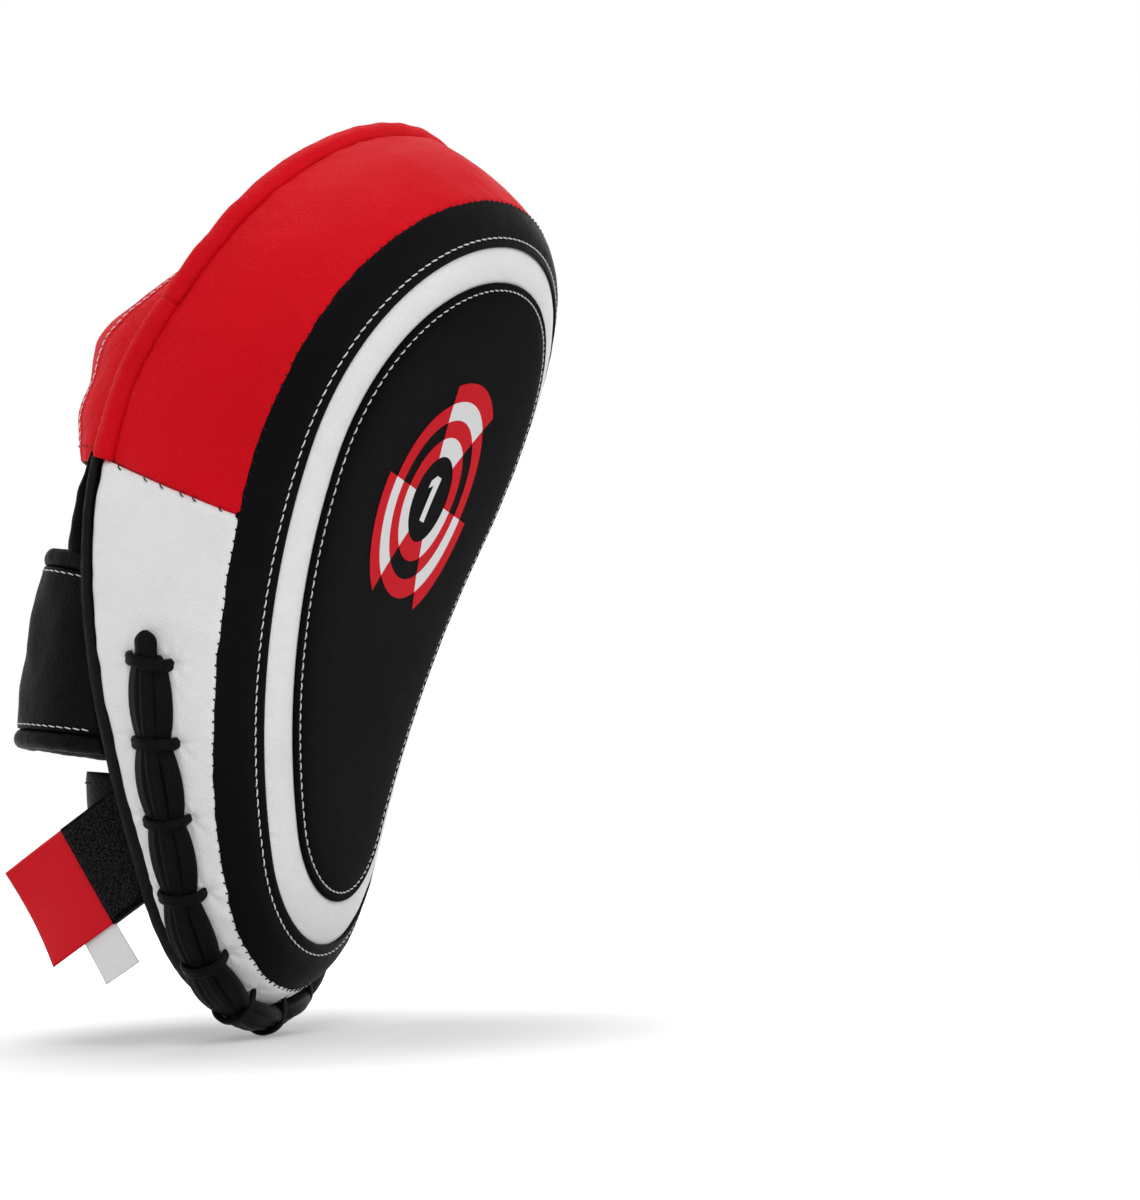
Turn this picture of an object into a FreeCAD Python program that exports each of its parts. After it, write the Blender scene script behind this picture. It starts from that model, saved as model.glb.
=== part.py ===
"""Curved focus pad: a hand-held striking pad with a finger hood, a hand cuff and a wrist strap.

The pad is bent about a line in front of it, parallel to X, called the bend line. A place on the pad
is given by three numbers:
  across  distance from the middle plane, along X
  up      distance along the striking face, measured from the centre of its top circle
  depth   distance behind the middle of the striking face, away from the bend line
"""
import FreeCAD, Part
import math
import os
import Sketcher
from FreeCAD import Placement, Rotation, Vector

os.makedirs("parts", exist_ok=True)
doc = FreeCAD.newDocument("focus_pad")

# ---------------------------------------------------------------- driving dimensions, millimetres
SIZES = {
    # outline of the striking face, at the outer edge of the black ring
    "crown_radius": 92.0,        # top circle
    "toe_radius": 59.0,          # bottom circle
    "circle_spacing": 112.4,     # between the two circles' centres
    "flank_radius": 430.0,       # side arcs that join them
    "toe_draw": 0.3,             # how far the bottom circle rises for each millimetre of inset
    # bend of the whole pad
    "bend_radius": 333.3,
    "lean_angle": 26.1,          # degrees, of the face at the centre of its top circle
    # striking face
    "band_outer_inset": 9.8,
    "band_inner_inset": 21.2,
    "ring_drop": 14.4,           # depth of each outline of the face
    "band_outer_drop": 5.2,
    "band_inner_drop": 1.2,
    "leather": 1.6,              # thickness of the skins
    # sides
    "side_bulge": 3.3,
    "seam_up": -33.0,            # where the red side meets the white side
    "crown_depth": 62.5,         # depth of the back panel at three heights
    "waist_depth": 67.0,
    "toe_depth": 41.0,
    "crown_station": 30.0,
    "waist_station": -22.0,
    "toe_station": -165.0,
    "piping_radius": 3.4,
    "binding_width": 3.0,
    # filling
    "foam_share": 0.14,          # part of the side's depth that the front foam fills
    "gel_share": 0.32,
    "board_thickness": 2.0,
    "filling_gap": 0.2,
    # back of the pad
    "hood_half_width": 78.0,
    "hood_top_up": 44.0,
    "lining": 2.5,
    "hem_height": 7.0,
    "hem_lip": 1.4,
    "cuff_top_up": -56.0,
    "cuff_foot_up": -106.0,
    "cuff_top_half_width": 75.0,
    "cuff_foot_half_width": 65.0,
    "cuff_top_height": 37.0,
    "cuff_foot_height": 56.0,
    "bolster_width": 7.0,
    "bolster_height": 7.0,
    "grip_radius": 30.0,
    "grip_height": 20.0,
    "grip_up": -52.0,
    # wrist strap, labels
    "strap_top_up": -110.0,
    "strap_foot_up": -142.0,
    "strap_half_width": 46.0,
    "strap_height": 35.0,
    "strap_thickness": 2.2,
    "strap_gap": 0.5,            # between the strap's feet and the patches that hold them
    "patch_thickness": 1.2,
    "patch_width": 12.0,
    "patch_length": 28.0,
    "tab_up": -125.5,            # upper corner of the strap's free end, and its height
    "tab_height": 29.0,
    "tab_length": 27.0,
    "tab_width": 35.0,
    "tab_angle": 33.0,           # degrees, of the free end's edge from upright
    "loop_patch_margin": 2.0,
    "label_length": 24.0,
    "care_length": 12.0,
    "care_width": 18.0,
    "care_tuck": 4.0,
    "label_thickness": 0.8,
    # lace
    "lace_share": 0.47,          # where the lace runs across the side
    "lace_width": 3.6,
    "lace_thickness": 4.2,
    "lace_top_up": -71.0,
    "loop_diameter": 3.0,
    "loop_span": 17.0,
    "loop_pitch": 21.6,
    "loop_corner": 2.4,
    "loop_sink": 0.5,
    # small edges, seats and clearances
    "ring_crown": 1.5,
    "piping_inset": 0.8,
    "binding_overhang": 0.6,
    "bulge_filled": 0.75,
    "foam_start_share": 0.04,
    "core_widest_share": 0.66,
    "core_taper_share": 0.8,
    "leather_reach": 20,
    "back_seat": 0.1,
    "closure_reach": 9.0,
    "closure_width_share": 0.9,
    "closure_edge": 2.0,
    "bolster_inset": 1.0,
    "bolster_end_gap": 1.0,
    "patch_seat": 0.3,
    "patch_margin": 2.0,
    "loop_gap": 0.4,
}
LACE_STRANDS = 3
LOOPS_PER_SIDE = 6

sheet = doc.addObject("Spreadsheet::Sheet", "sizes")
for row, (name, value) in enumerate(SIZES.items(), start=1):
    sheet.set("A%d" % row, name)
    sheet.set("B%d" % row, str(value))
    sheet.setAlias("B%d" % row, name)
doc.recompute()


def size(name):
    return float(getattr(sheet, name))


BEND = size("bend_radius")
LEAN = math.radians(size("lean_angle"))
LEATHER = size("leather")
RING_DROP = size("ring_drop")
SEAM = size("seam_up")

# ---------------------------------------------------------------- geometry of the curved pad


def outline_arcs(inset):
    """Right half of the egg outline: centre, radius, first and last angle of its three arcs."""
    crown = size("crown_radius") - inset
    toe = size("toe_radius") - inset
    flank = size("flank_radius") - inset
    spacing = size("circle_spacing") - size("toe_draw") * inset
    to_crown = flank - crown
    to_toe = flank - toe
    up = (to_toe ** 2 - to_crown ** 2 - spacing ** 2) / (2 * spacing)
    across = math.sqrt(to_crown ** 2 - up ** 2)
    first = math.atan2(-up, across)
    last = math.atan2(-spacing - up, across)
    return [
        ((0, 0), crown, math.pi / 2, first),
        ((-across, up), flank, first, last),
        ((0, -spacing), toe, last, -math.pi / 2),
    ]


def outline(inset, steps=14):
    """Points of the right half outline, from the top to the bottom."""
    points = []
    for (cx, cy), radius, start, end in outline_arcs(inset):
        for i in range(steps):
            angle = start + (end - start) * i / steps
            points.append((cx + radius * math.cos(angle), cy + radius * math.sin(angle)))
    (cx, cy), radius, _, end = outline_arcs(inset)[-1]
    points.append((0.0, cy - radius))
    return points


def half_width(up, inset=0.0):
    """Half the width of the outline at a given height."""
    for (cx, cy), radius, start, end in outline_arcs(inset):
        if up >= cy + radius * math.sin(end):
            return cx + math.sqrt(max(radius ** 2 - (up - cy) ** 2, 0.0))
    return 0.0


def ease(share):
    share = min(max(share, 0.0), 1.0)
    return (1 - math.cos(math.pi * share)) / 2


def back_depth(up):
    """Depth of the back panel: thick at the waist, thin at the toe."""
    waist_up = size("waist_station")
    waist = size("waist_depth")
    if up > waist_up:
        share = (up - waist_up) / (size("crown_station") - waist_up)
        return waist + (size("crown_depth") - waist) * ease(share)
    share = (waist_up - up) / (waist_up - size("toe_station"))
    return waist + (size("toe_depth") - waist) * ease(share)


def place(across, up, depth):
    """A point of the curved pad, with the bend line along X through the origin."""
    angle = LEAN + up / BEND
    return Vector(across, (BEND + depth) * math.cos(angle), (BEND + depth) * math.sin(angle))


def at(depth):
    return lambda up: depth


def above_back(height):
    return lambda up: back_depth(up) + height


def side(share):
    return lambda up: RING_DROP + (back_depth(up) - RING_DROP) * share


def bulge(share):
    return -size("side_bulge") * math.sin(math.pi * share)


def half_curve(level, hand):
    inset, depth = level
    points = [place(hand * across, up, depth(up)) for across, up in outline(inset)]
    curve = Part.BSplineCurve()
    curve.interpolate(points)
    return curve.toShape()


def solid_from(faces):
    shape = Part.makeCompound(faces)
    shape.sewShape()
    shell = shape if shape.ShapeType == "Shell" else Part.makeShell(shape.Faces)
    solid = Part.makeSolid(shell)
    if solid.Volume < 0:
        solid.reverse()
    return solid


def slab(levels):
    """Solid between the first and last outline, through those between them."""
    left = [half_curve(level, -1) for level in levels]
    right = [half_curve(level, 1) for level in levels]
    faces = [Part.makeRuledSurface(left[0], right[0]), Part.makeRuledSurface(left[-1], right[-1])]
    for curves in (left, right):
        for first, second in zip(curves, curves[1:]):
            faces.append(Part.makeRuledSurface(first, second))
    return solid_from(faces)


def ring(levels):
    """Solid ring whose section is the polygon of these outlines."""
    faces = []
    for hand in (-1, 1):
        curves = [half_curve(level, hand) for level in levels]
        for first, second in zip(curves, curves[1:] + curves[:1]):
            faces.append(Part.makeRuledSurface(first, second))
    return solid_from(faces)


def beyond(up, direction):
    """Large block on one side of the plane at this height; direction is +1 above it, -1 below."""
    reach = 3 * BEND
    block = Part.makeBox(reach, reach, reach, Vector(-reach / 2, 0, 0 if direction > 0 else -reach))
    block.rotate(Vector(0, 0, 0), Vector(1, 0, 0), math.degrees(LEAN + up / BEND))
    return block


# ---------------------------------------------------------------- sub-parts as document objects
NODES = []


def add_shape(label, shape):
    """A sub-part whose shape is worked out above."""
    item = doc.addObject("Part::Feature", label)
    item.Shape = shape
    item.Label = label
    NODES.append(item)
    return item


def back_frame(across, up, height=0.0):
    """Placement on the back panel: X to the left, Y up the panel, Z out of it."""
    step = 0.5
    low = place(across, up - step, back_depth(up - step))
    high = place(across, up + step, back_depth(up + step))
    along = (high - low).normalize()
    out = along.cross(Vector(1, 0, 0))
    base = place(across, up, back_depth(up))
    return Placement(base + out * height, Rotation(Vector(-1, 0, 0), along, out, "ZXY"))


# striking face
BAND_OUT = size("band_outer_inset")
BAND_IN = size("band_inner_inset")
BAND_OUT_DROP = size("band_outer_drop")
BAND_IN_DROP = size("band_inner_drop")
FLAT_INSET = 2 * BAND_IN - BAND_OUT

add_shape("centre_panel", slab([
    (FLAT_INSET, at(0)), (BAND_IN, at(BAND_IN_DROP)),
    (BAND_IN, at(BAND_IN_DROP + LEATHER)), (FLAT_INSET, at(LEATHER))]))
add_shape("white_band", ring([
    (BAND_IN, at(BAND_IN_DROP)), (BAND_OUT, at(BAND_OUT_DROP)),
    (BAND_OUT, at(BAND_OUT_DROP + LEATHER)), (BAND_IN, at(BAND_IN_DROP + LEATHER))]))
RING_MID = (BAND_OUT / 2, (BAND_OUT_DROP + RING_DROP) / 2 - size("ring_crown"))
add_shape("outer_ring", ring([
    (BAND_OUT, at(BAND_OUT_DROP)), (RING_MID[0], at(RING_MID[1])), (0, at(RING_DROP)),
    (LEATHER, at(RING_DROP)), (RING_MID[0] + size("ring_crown") / 2, at(RING_MID[1] + LEATHER)),
    (BAND_OUT, at(BAND_OUT_DROP + LEATHER))]))


# sides: a red gusset over the top and a white one round the toe
def gusset(rear_edge):
    """Bulging wall from the ring to a line this far in front of the back panel."""
    def part_way(share):
        return lambda up: RING_DROP + (back_depth(up) - rear_edge - RING_DROP) * share
    outer = [(bulge(share), part_way(share)) for share in (0, 0.2, 0.5, 0.8, 1)]
    inner = [(inset + LEATHER, depth) for inset, depth in reversed(outer)]
    return ring(outer + inner)


PIPING = size("piping_radius")
add_shape("upper_gusset", gusset(2 * PIPING).common(beyond(SEAM, 1)))
add_shape("lower_gusset", gusset(size("binding_width")).common(beyond(SEAM, -1)))


def round_edge(radius, inset, sides=8):
    """Levels of a cord of this radius along the pad's rear edge."""
    levels = []
    for i in range(sides):
        angle = 2 * math.pi * (i + 0.5) / sides
        reach = radius / math.cos(math.pi / sides)
        levels.append((inset + reach * math.cos(angle), above_back(reach * math.sin(angle) - radius)))
    return levels


PIPING_INSET = size("piping_inset")
add_shape("rear_piping", ring(round_edge(PIPING, PIPING_INSET)).common(beyond(SEAM, 1)))
BINDING = size("binding_width")
OVERHANG = size("binding_overhang")
add_shape("rear_binding", ring([
    (-OVERHANG, above_back(-BINDING)), (-OVERHANG, above_back(0)),
    (2 * BINDING, above_back(0)), (2 * BINDING, above_back(-BINDING))]).common(beyond(SEAM, -1)))

# filling, from the striking face to the back
GAP = size("filling_gap")
FOAM_SHARE = size("foam_share")
GEL_SHARE = size("gel_share")
BOARD = size("board_thickness")
WALL = LEATHER + GAP
FILLED = size("bulge_filled")


def layer(first, last):
    shares = (first, (first + last) / 2, last)
    return [(FILLED * bulge(share) + WALL, side(share)) for share in shares]


add_shape("front_foam", slab([
    (FLAT_INSET, at(WALL)), (BAND_IN, at(BAND_IN_DROP + WALL)),
    (BAND_OUT, at(BAND_OUT_DROP + WALL)), (WALL + 2 * GAP, at(RING_DROP))]
    + layer(size("foam_start_share"), FOAM_SHARE)))
add_shape("gel_layer", slab(layer(FOAM_SHARE, GEL_SHARE)))
BACK_INSET = PIPING_INSET + PIPING + GAP
REAR = LEATHER + BOARD
add_shape("core_foam", slab(layer(GEL_SHARE, size("core_widest_share")) + [
    (WALL + GAP, side(size("core_taper_share"))), (WALL + BACK_INSET, above_back(-REAR - GAP)),
    (WALL + BACK_INSET, above_back(-REAR))]))
add_shape("back_board", slab([
    (2 * BINDING + GAP, above_back(-REAR)), (2 * BINDING + GAP, above_back(-LEATHER))]))
add_shape("back_panel", slab([
    (2 * BINDING + GAP, above_back(-LEATHER)), (2 * BINDING + GAP, above_back(0))]))


def clear_of_back(shape, lift):
    """The shape without what lies lower than this height over the back panel."""
    return shape.cut(slab([(-size("leather_reach"), above_back(-size("leather_reach"))),
                           (-size("leather_reach"), above_back(lift))]))


# ---------------------------------------------------------------- arches on the back
def arch_wire(up, half, height, inside, fullness=0.8, steps=12):
    """Closed outline of an arch over the back panel, from its outer to its inner surface."""
    def curve(width, tall):
        points = []
        for i in range(2 * steps + 1):
            angle = math.pi * i / (2 * steps)
            reach = math.copysign(abs(math.cos(angle)) ** fullness, math.cos(angle))
            rise = math.sin(angle) ** fullness
            points.append(place(width * reach, up, back_depth(up) + tall * rise))
        line = Part.BSplineCurve()
        line.interpolate(points)
        return line
    outer = curve(half, height)
    inner = curve(half - inside, height - inside)
    first = Part.LineSegment(outer.value(outer.FirstParameter), inner.value(inner.FirstParameter))
    last = Part.LineSegment(outer.value(outer.LastParameter), inner.value(inner.LastParameter))
    return Part.Wire([outer.toShape(), last.toShape(), inner.toShape(), first.toShape()])


def arch(sections, inside):
    """Arched shell through (up, half width, height) sections."""
    return Part.makeLoft([arch_wire(up, half, tall, inside) for up, half, tall in sections], True)


LINING = size("lining")
SEAT = size("back_seat")
HEM = size("hem_height")
LIP = size("hem_lip")
HOOD = size("hood_half_width")
HOOD_TOP = size("hood_top_up")
# heights of the hood, as shares of the way from its closed top to its mouth at the seam
HOOD_SHAPE = [(0.0, 0.72, 8.0), (0.22, 0.88, 26.0), (0.42, 0.96, 37.0), (0.62, 1.0, 45.0),
              (0.78, 1.0, 38.0), (0.92, 1.0, 33.0), (1.0, 1.0, 29.0)]


def hood_sections(grow=0.0):
    sections = []
    for share, wide, tall in HOOD_SHAPE:
        up = HOOD_TOP + (SEAM - HOOD_TOP) * share
        sections.append((up, HOOD * wide + grow, tall + grow))
    return sections


add_shape("finger_hood", clear_of_back(arch(hood_sections(), LEATHER), SEAT))
add_shape("hood_lining", clear_of_back(arch(hood_sections(-WALL), LINING), SEAT))


def hood_cap():
    """Sloping front wall that closes the hood's top."""
    up, half, tall = hood_sections()[0]
    foot = (up + size("closure_reach"), half * size("closure_width_share"), size("closure_edge"))
    wires = []
    for station, width, height in (foot, (up, half, tall)):
        outer = arch_wire(station, width, height, LEATHER / 2)
        edge = outer.Edges[0]
        base = Part.LineSegment(edge.Vertexes[1].Point, edge.Vertexes[0].Point).toShape()
        wires.append(Part.Wire([edge, base]))
    return Part.makeLoft(wires, True)


add_shape("hood_closure", clear_of_back(hood_cap(), SEAT))

CUFF_TOP = size("cuff_top_up")
CUFF_FOOT = size("cuff_foot_up")


def cuff_section(up, grow=0.0):
    share = (CUFF_TOP - up) / (CUFF_TOP - CUFF_FOOT)
    half, tall = size("cuff_top_half_width"), size("cuff_top_height")
    half += (size("cuff_foot_half_width") - half) * share
    tall += (size("cuff_foot_height") - tall) * share
    return (up, half + grow, tall + grow)


def cuff_piece(top, foot, grow, inside):
    sleeve = arch([cuff_section(up, grow) for up in (top, (top + foot) / 2, foot)], inside)
    return clear_of_back(sleeve, SEAT)


add_shape("hand_cuff", cuff_piece(CUFF_TOP - HEM, CUFF_FOOT + HEM, 0, LEATHER))
add_shape("cuff_lining", cuff_piece(CUFF_TOP - HEM, CUFF_FOOT + HEM, -WALL, LINING))
add_shape("cuff_top_hem", cuff_piece(CUFF_TOP, CUFF_TOP - HEM, LIP, LEATHER + LINING + LIP))
add_shape("cuff_foot_hem", cuff_piece(CUFF_FOOT + HEM, CUFF_FOOT, LIP, LEATHER + LINING + LIP))


def bolster(hand):
    """Padded rim of the hand opening, between the hood and the cuff."""
    width = size("bolster_width")
    wires = []
    end = size("bolster_end_gap")
    for up, tall in ((SEAM - end, 0.4), ((SEAM + CUFF_TOP) / 2, 0.8), (CUFF_TOP + end, 1.0)):
        edge = half_width(up) - size("bolster_inset")
        height = size("bolster_height") * tall
        corners = [place(hand * (edge - reach), up, back_depth(up) + rise)
                   for reach, rise in ((0, 0), (0.1 * width, height), (0.7 * width, height), (width, 0))]
        wires.append(Part.makePolygon(corners + corners[:1]))
    return clear_of_back(Part.makeLoft(wires, True, True), SEAT)


add_shape("bolster_left", bolster(-1))
add_shape("bolster_right", bolster(1))

# ---------------------------------------------------------------- palm grip: a dome under the hand
PATCH_SEAT = size("patch_seat")
grip_spot = back_frame(0, size("grip_up"), PATCH_SEAT)


def dome(name, cover):
    """Part of a ball standing on its flat side; cover is how far inside the leather it lies."""
    ball = doc.addObject("Part::Sphere", name)
    flat = "(sizes.grip_radius ^ 2 + sizes.grip_height ^ 2) / (2 * sizes.grip_height)"
    ball.setExpression("Radius", "%s - %s" % (flat, cover))
    ball.setExpression("Angle1", "asin((%s - sizes.grip_height) / (%s - %s))" % (flat, flat, cover))
    radius = (size("grip_radius") ** 2 + size("grip_height") ** 2) / (2 * size("grip_height"))
    ball.Placement.Base.z = size("grip_height") - radius
    return ball


grip_foam = dome("palm_grip_foam", "sizes.leather")
grip_skin = doc.addObject("Part::Cut", "palm_grip")
grip_skin.Base = dome("palm_grip_ball", "0")
grip_skin.Tool = dome("palm_grip_hollow", "sizes.leather")
doc.recompute()
for item in (grip_skin, grip_foam):
    NODES.append(item)

# ---------------------------------------------------------------- wrist strap and labels
STRAP_TOP = size("strap_top_up")
STRAP_FOOT = size("strap_foot_up")
STRAP_MID = (STRAP_TOP + STRAP_FOOT) / 2
STRAP = size("strap_half_width")
STRAP_THICK = size("strap_thickness")
PATCH = size("patch_thickness")
FOOT_LIFT = PATCH + PATCH_SEAT + size("strap_gap")


strap_sections = [arch_wire(up, STRAP, size("strap_height"), STRAP_THICK)
                  for up in (STRAP_TOP, STRAP_MID, STRAP_FOOT)]
add_shape("wrist_strap", clear_of_back(Part.makeLoft(strap_sections, True), FOOT_LIFT))


def plate(label, wide, tall, thick):
    """Flat rectangular piece: a sketch on the ground plane, padded to its thickness."""
    body = doc.addObject("PartDesign::Body", label)
    sketch = body.newObject("Sketcher::SketchObject", label + "_outline")
    ground = [item for item in body.Origin.OriginFeatures if item.Role == "XY_Plane"][0]
    sketch.AttachmentSupport = [(ground, "")]
    sketch.MapMode = "FlatFace"
    corners = [Vector(0, 0, 0), Vector(10, 0, 0), Vector(10, 10, 0), Vector(0, 10, 0)]
    for first, second in zip(corners, corners[1:] + corners[:1]):
        sketch.addGeometry(Part.LineSegment(first, second), False)
    for line in range(4):
        sketch.addConstraint(Sketcher.Constraint("Coincident", line, 2, (line + 1) % 4, 1))
        sketch.addConstraint(Sketcher.Constraint("Vertical" if line % 2 else "Horizontal", line))
    sketch.addConstraint(Sketcher.Constraint("Coincident", 0, 1, -1, 1))
    for line, name, value in ((0, "wide", wide), (1, "tall", tall)):
        number = sketch.addConstraint(Sketcher.Constraint("Distance", line, 10.0))
        sketch.renameConstraint(number, name)
        sketch.setExpression("Constraints." + name, "sizes." + value)
    pad = body.newObject("PartDesign::Pad", label + "_pad")
    pad.Profile = sketch
    pad.setExpression("Length", "sizes." + thick)
    body.Tip = pad
    NODES.append(body)
    return body


# the hook patch holds the strap's near foot, the anchor its sewn foot
PATCH_MARGIN = size("patch_margin")
near_side = -STRAP - PATCH_MARGIN + size("patch_width")
for label, spot in (("hook_patch", near_side), ("strap_anchor", STRAP + PATCH_MARGIN)):
    patch = plate(label, "patch_width", "patch_length", "patch_thickness")
    corner = back_frame(spot, STRAP_MID, PATCH_SEAT)
    corner.Base = corner.Base - corner.Rotation.multVec(Vector(0, size("patch_length") / 2, 0))
    patch.Placement = corner

# the strap's free end stands in an upright plane beside its near foot, and the labels hang from it
TAB_ANGLE = math.radians(size("tab_angle"))
EDGE = Vector(0, -math.sin(TAB_ANGLE), -math.cos(TAB_ANGLE))
OUT = Vector(0, math.cos(TAB_ANGLE), -math.sin(TAB_ANGLE))
TAB_UP = size("tab_up")
TAB_CORNER = place(-STRAP - STRAP_THICK, TAB_UP, back_depth(TAB_UP) + size("tab_height"))


def tab_frame(along, out, inward):
    """Placement in the free end's plane: X along its edge, Y away from the pad, Z inwards."""
    base = TAB_CORNER + EDGE * along + OUT * out + Vector(inward, 0, 0)
    return Placement(base, Rotation(EDGE, OUT, Vector(1, 0, 0), "ZXY"))


def tab_piece(margin, inward, thick):
    long_side = size("tab_length") - margin
    piece = Part.makeBox(size("tab_width") - 2 * margin, long_side, thick)
    piece.Placement = tab_frame(margin, -long_side - margin, inward)
    return clear_of_back(piece, FOOT_LIFT)


add_shape("strap_tab", tab_piece(0, 0, STRAP_THICK))
add_shape("strap_loop_face", tab_piece(size("loop_patch_margin"), -PATCH, PATCH))
LABEL = size("label_thickness")
red_label = plate("red_label", "tab_width", "label_length", "label_thickness")
red_label.Placement = tab_frame(0, 0, 0)
care_label = plate("care_label", "care_width", "care_length", "label_thickness")
care_label.Placement = tab_frame(size("tab_width") - size("care_tuck"), 0, LABEL)

# ---------------------------------------------------------------- lace round the toe
LACE_SHARE = size("lace_share")
LACE_WIDTH = size("lace_width")
LACE_THICK = size("lace_thickness")
LACE_TOP = size("lace_top_up")
LACE_SEAT = bulge(0.5)


def beside(share, offset):
    return lambda up: side(share)(up) + offset


strands = []
for strand in range(LACE_STRANDS):
    middle = (strand - (LACE_STRANDS - 1) / 2) * LACE_WIDTH
    low = beside(LACE_SHARE, middle - LACE_WIDTH / 2)
    high = beside(LACE_SHARE, middle + LACE_WIDTH / 2)
    whole = ring([(LACE_SEAT, low), (LACE_SEAT - 0.7 * LACE_THICK, low),
                  (LACE_SEAT - LACE_THICK, beside(LACE_SHARE, middle)),
                  (LACE_SEAT - 0.7 * LACE_THICK, high), (LACE_SEAT, high)])
    strands.append(whole.common(beyond(LACE_TOP, -1)))
add_shape("lace_strands", Part.makeCompound(strands))


def from_toe(distance, inset):
    """Point and outward direction on the right half outline, this far from its lowest point."""
    for (cx, cy), radius, start, end in reversed(outline_arcs(inset)):
        length = radius * (start - end)
        if distance <= length:
            angle = end + distance / radius
            return (cx + radius * math.cos(angle), cy + radius * math.sin(angle)), angle
        distance -= length
    raise ValueError("the lace is longer than the outline")


def staple(fuller):
    """One cross loop: X across the strands, Z away from the pad. fuller: how much thicker they are here."""
    reach = size("loop_span") / 2
    radius = size("loop_diameter") / 2
    top = LACE_THICK + fuller + radius + size("loop_gap")
    bend = size("loop_corner")
    foot = -size("loop_sink")
    side_point = bend * (1 - math.sqrt(0.5))
    edges = [
        Part.LineSegment(Vector(-reach, 0, foot), Vector(-reach, 0, top - bend)),
        Part.Arc(Vector(-reach, 0, top - bend), Vector(-reach + side_point, 0, top - side_point),
                 Vector(-reach + bend, 0, top)),
        Part.LineSegment(Vector(-reach + bend, 0, top), Vector(reach - bend, 0, top)),
        Part.Arc(Vector(reach - bend, 0, top), Vector(reach - side_point, 0, top - side_point),
                 Vector(reach, 0, top - bend)),
        Part.LineSegment(Vector(reach, 0, top - bend), Vector(reach, 0, foot)),
    ]
    path = Part.Wire([edge.toShape() for edge in edges])
    section = Part.Wire([Part.makeCircle(radius, Vector(-reach, 0, foot), Vector(0, 0, 1))])
    return path.makePipeShell([section], True, False)


def stapled(hand, distance):
    (across, up), angle = from_toe(distance, LACE_SEAT)
    lean = LEAN + up / BEND
    upward = Vector(0, -math.sin(lean), math.cos(lean))
    rearward = Vector(0, math.cos(lean), math.sin(lean))
    outward = Vector(hand * math.cos(angle), 0, 0) + upward * math.sin(angle)
    loop = staple(size("toe_draw") * LACE_THICK * max(-math.sin(angle), 0))
    base = place(hand * across, up, side(LACE_SHARE)(up))
    loop.Placement = Placement(base, Rotation(rearward, outward.cross(rearward), outward, "ZXY"))
    return loop


PITCH = size("loop_pitch")
loops = [stapled(1, 0.0)]
for step in range(1, LOOPS_PER_SIDE + 1):
    loops += [stapled(-1, step * PITCH), stapled(1, step * PITCH)]
add_shape("lace_loops", Part.makeCompound(loops))

# ---------------------------------------------------------------- common origin, checks, files
doc.recompute()
for item in (grip_skin, grip_foam):
    item.Placement = grip_spot.multiply(item.Placement)
doc.recompute()
box = FreeCAD.BoundBox()
for item in NODES:
    box.add(item.Shape.optimalBoundingBox(False, False))
shift = Placement(Vector(0, -box.Center.y, -box.ZMin), Rotation())
for item in NODES:
    item.Placement = shift.multiply(item.Placement)
doc.recompute()

for item in doc.Objects:
    if "Invalid" in item.State or "Error" in item.State:
        raise RuntimeError("%s failed: %s" % (item.Label, item.State))
for item in NODES:
    shape = item.Shape
    if shape.isNull() or not shape.isValid() or not shape.Solids:
        raise RuntimeError("%s has no valid solid" % item.Label)
    print("%-18s solids %2d volume %9.0f" % (item.Label, len(shape.Solids), shape.Volume),
          shape.optimalBoundingBox(False, False))
for item in NODES:
    item.Shape.exportStep(os.path.join("parts", item.Label + ".step"))
hinge = place(STRAP, STRAP_MID, back_depth(STRAP_MID) + FOOT_LIFT) + shift.Base
print("box", box, "shift", shift.Base)
print("strap hinge", hinge, "axis", back_frame(STRAP, STRAP_MID).Rotation.multVec(Vector(0, -1, 0)))
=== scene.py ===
"""Gives a curved focus pad its finished look: leathers, piping, lace, hood, cuff, strap and labels.

Lengths are metres. A place on the bent pad is given by across (along X), up (along the striking
face, from the centre of its top circle) and depth (behind the middle of the striking face). A place
along the egg-shaped outline is given by share, from 0 at the crown's top, over the right side, to 1.
"""
import functools
import math

import bmesh
import bpy
from mathutils import Matrix, Vector, noise


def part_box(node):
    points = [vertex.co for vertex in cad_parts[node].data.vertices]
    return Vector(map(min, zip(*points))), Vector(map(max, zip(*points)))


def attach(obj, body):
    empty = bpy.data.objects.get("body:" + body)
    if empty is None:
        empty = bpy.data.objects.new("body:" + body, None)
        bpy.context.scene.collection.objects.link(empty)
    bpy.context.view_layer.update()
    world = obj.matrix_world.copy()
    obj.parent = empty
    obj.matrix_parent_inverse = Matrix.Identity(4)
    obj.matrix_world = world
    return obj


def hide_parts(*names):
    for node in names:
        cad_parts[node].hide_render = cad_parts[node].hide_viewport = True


bl_info = {
    "name": "Curved focus pad",
    "version": (1, 0, 0),
    "blender": (4, 5, 0),
    "location": "View3D > Sidebar > Pad",
    "description": "Sews a curved focus pad over its packed frame",
    "category": "Add Mesh",
}

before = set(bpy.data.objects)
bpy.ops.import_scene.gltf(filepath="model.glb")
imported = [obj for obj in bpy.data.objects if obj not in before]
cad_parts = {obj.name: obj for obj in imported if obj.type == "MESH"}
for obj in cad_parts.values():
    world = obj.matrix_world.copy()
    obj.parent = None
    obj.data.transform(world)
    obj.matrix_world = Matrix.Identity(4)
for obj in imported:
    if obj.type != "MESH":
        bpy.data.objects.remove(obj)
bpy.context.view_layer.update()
MM = 0.001
PI, TURN = math.pi, 2 * math.pi


# ---------------------------------------------------------------- what a user would change
def linear(code):
    """Linear colour of an sRGB hex value such as D20E1B."""
    values = [int(code[i:i + 2], 16) / 255 for i in (0, 2, 4)]
    return [v / 12.92 if v <= 0.04045 else ((v + 0.055) / 1.055) ** 2.4 for v in values]


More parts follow.
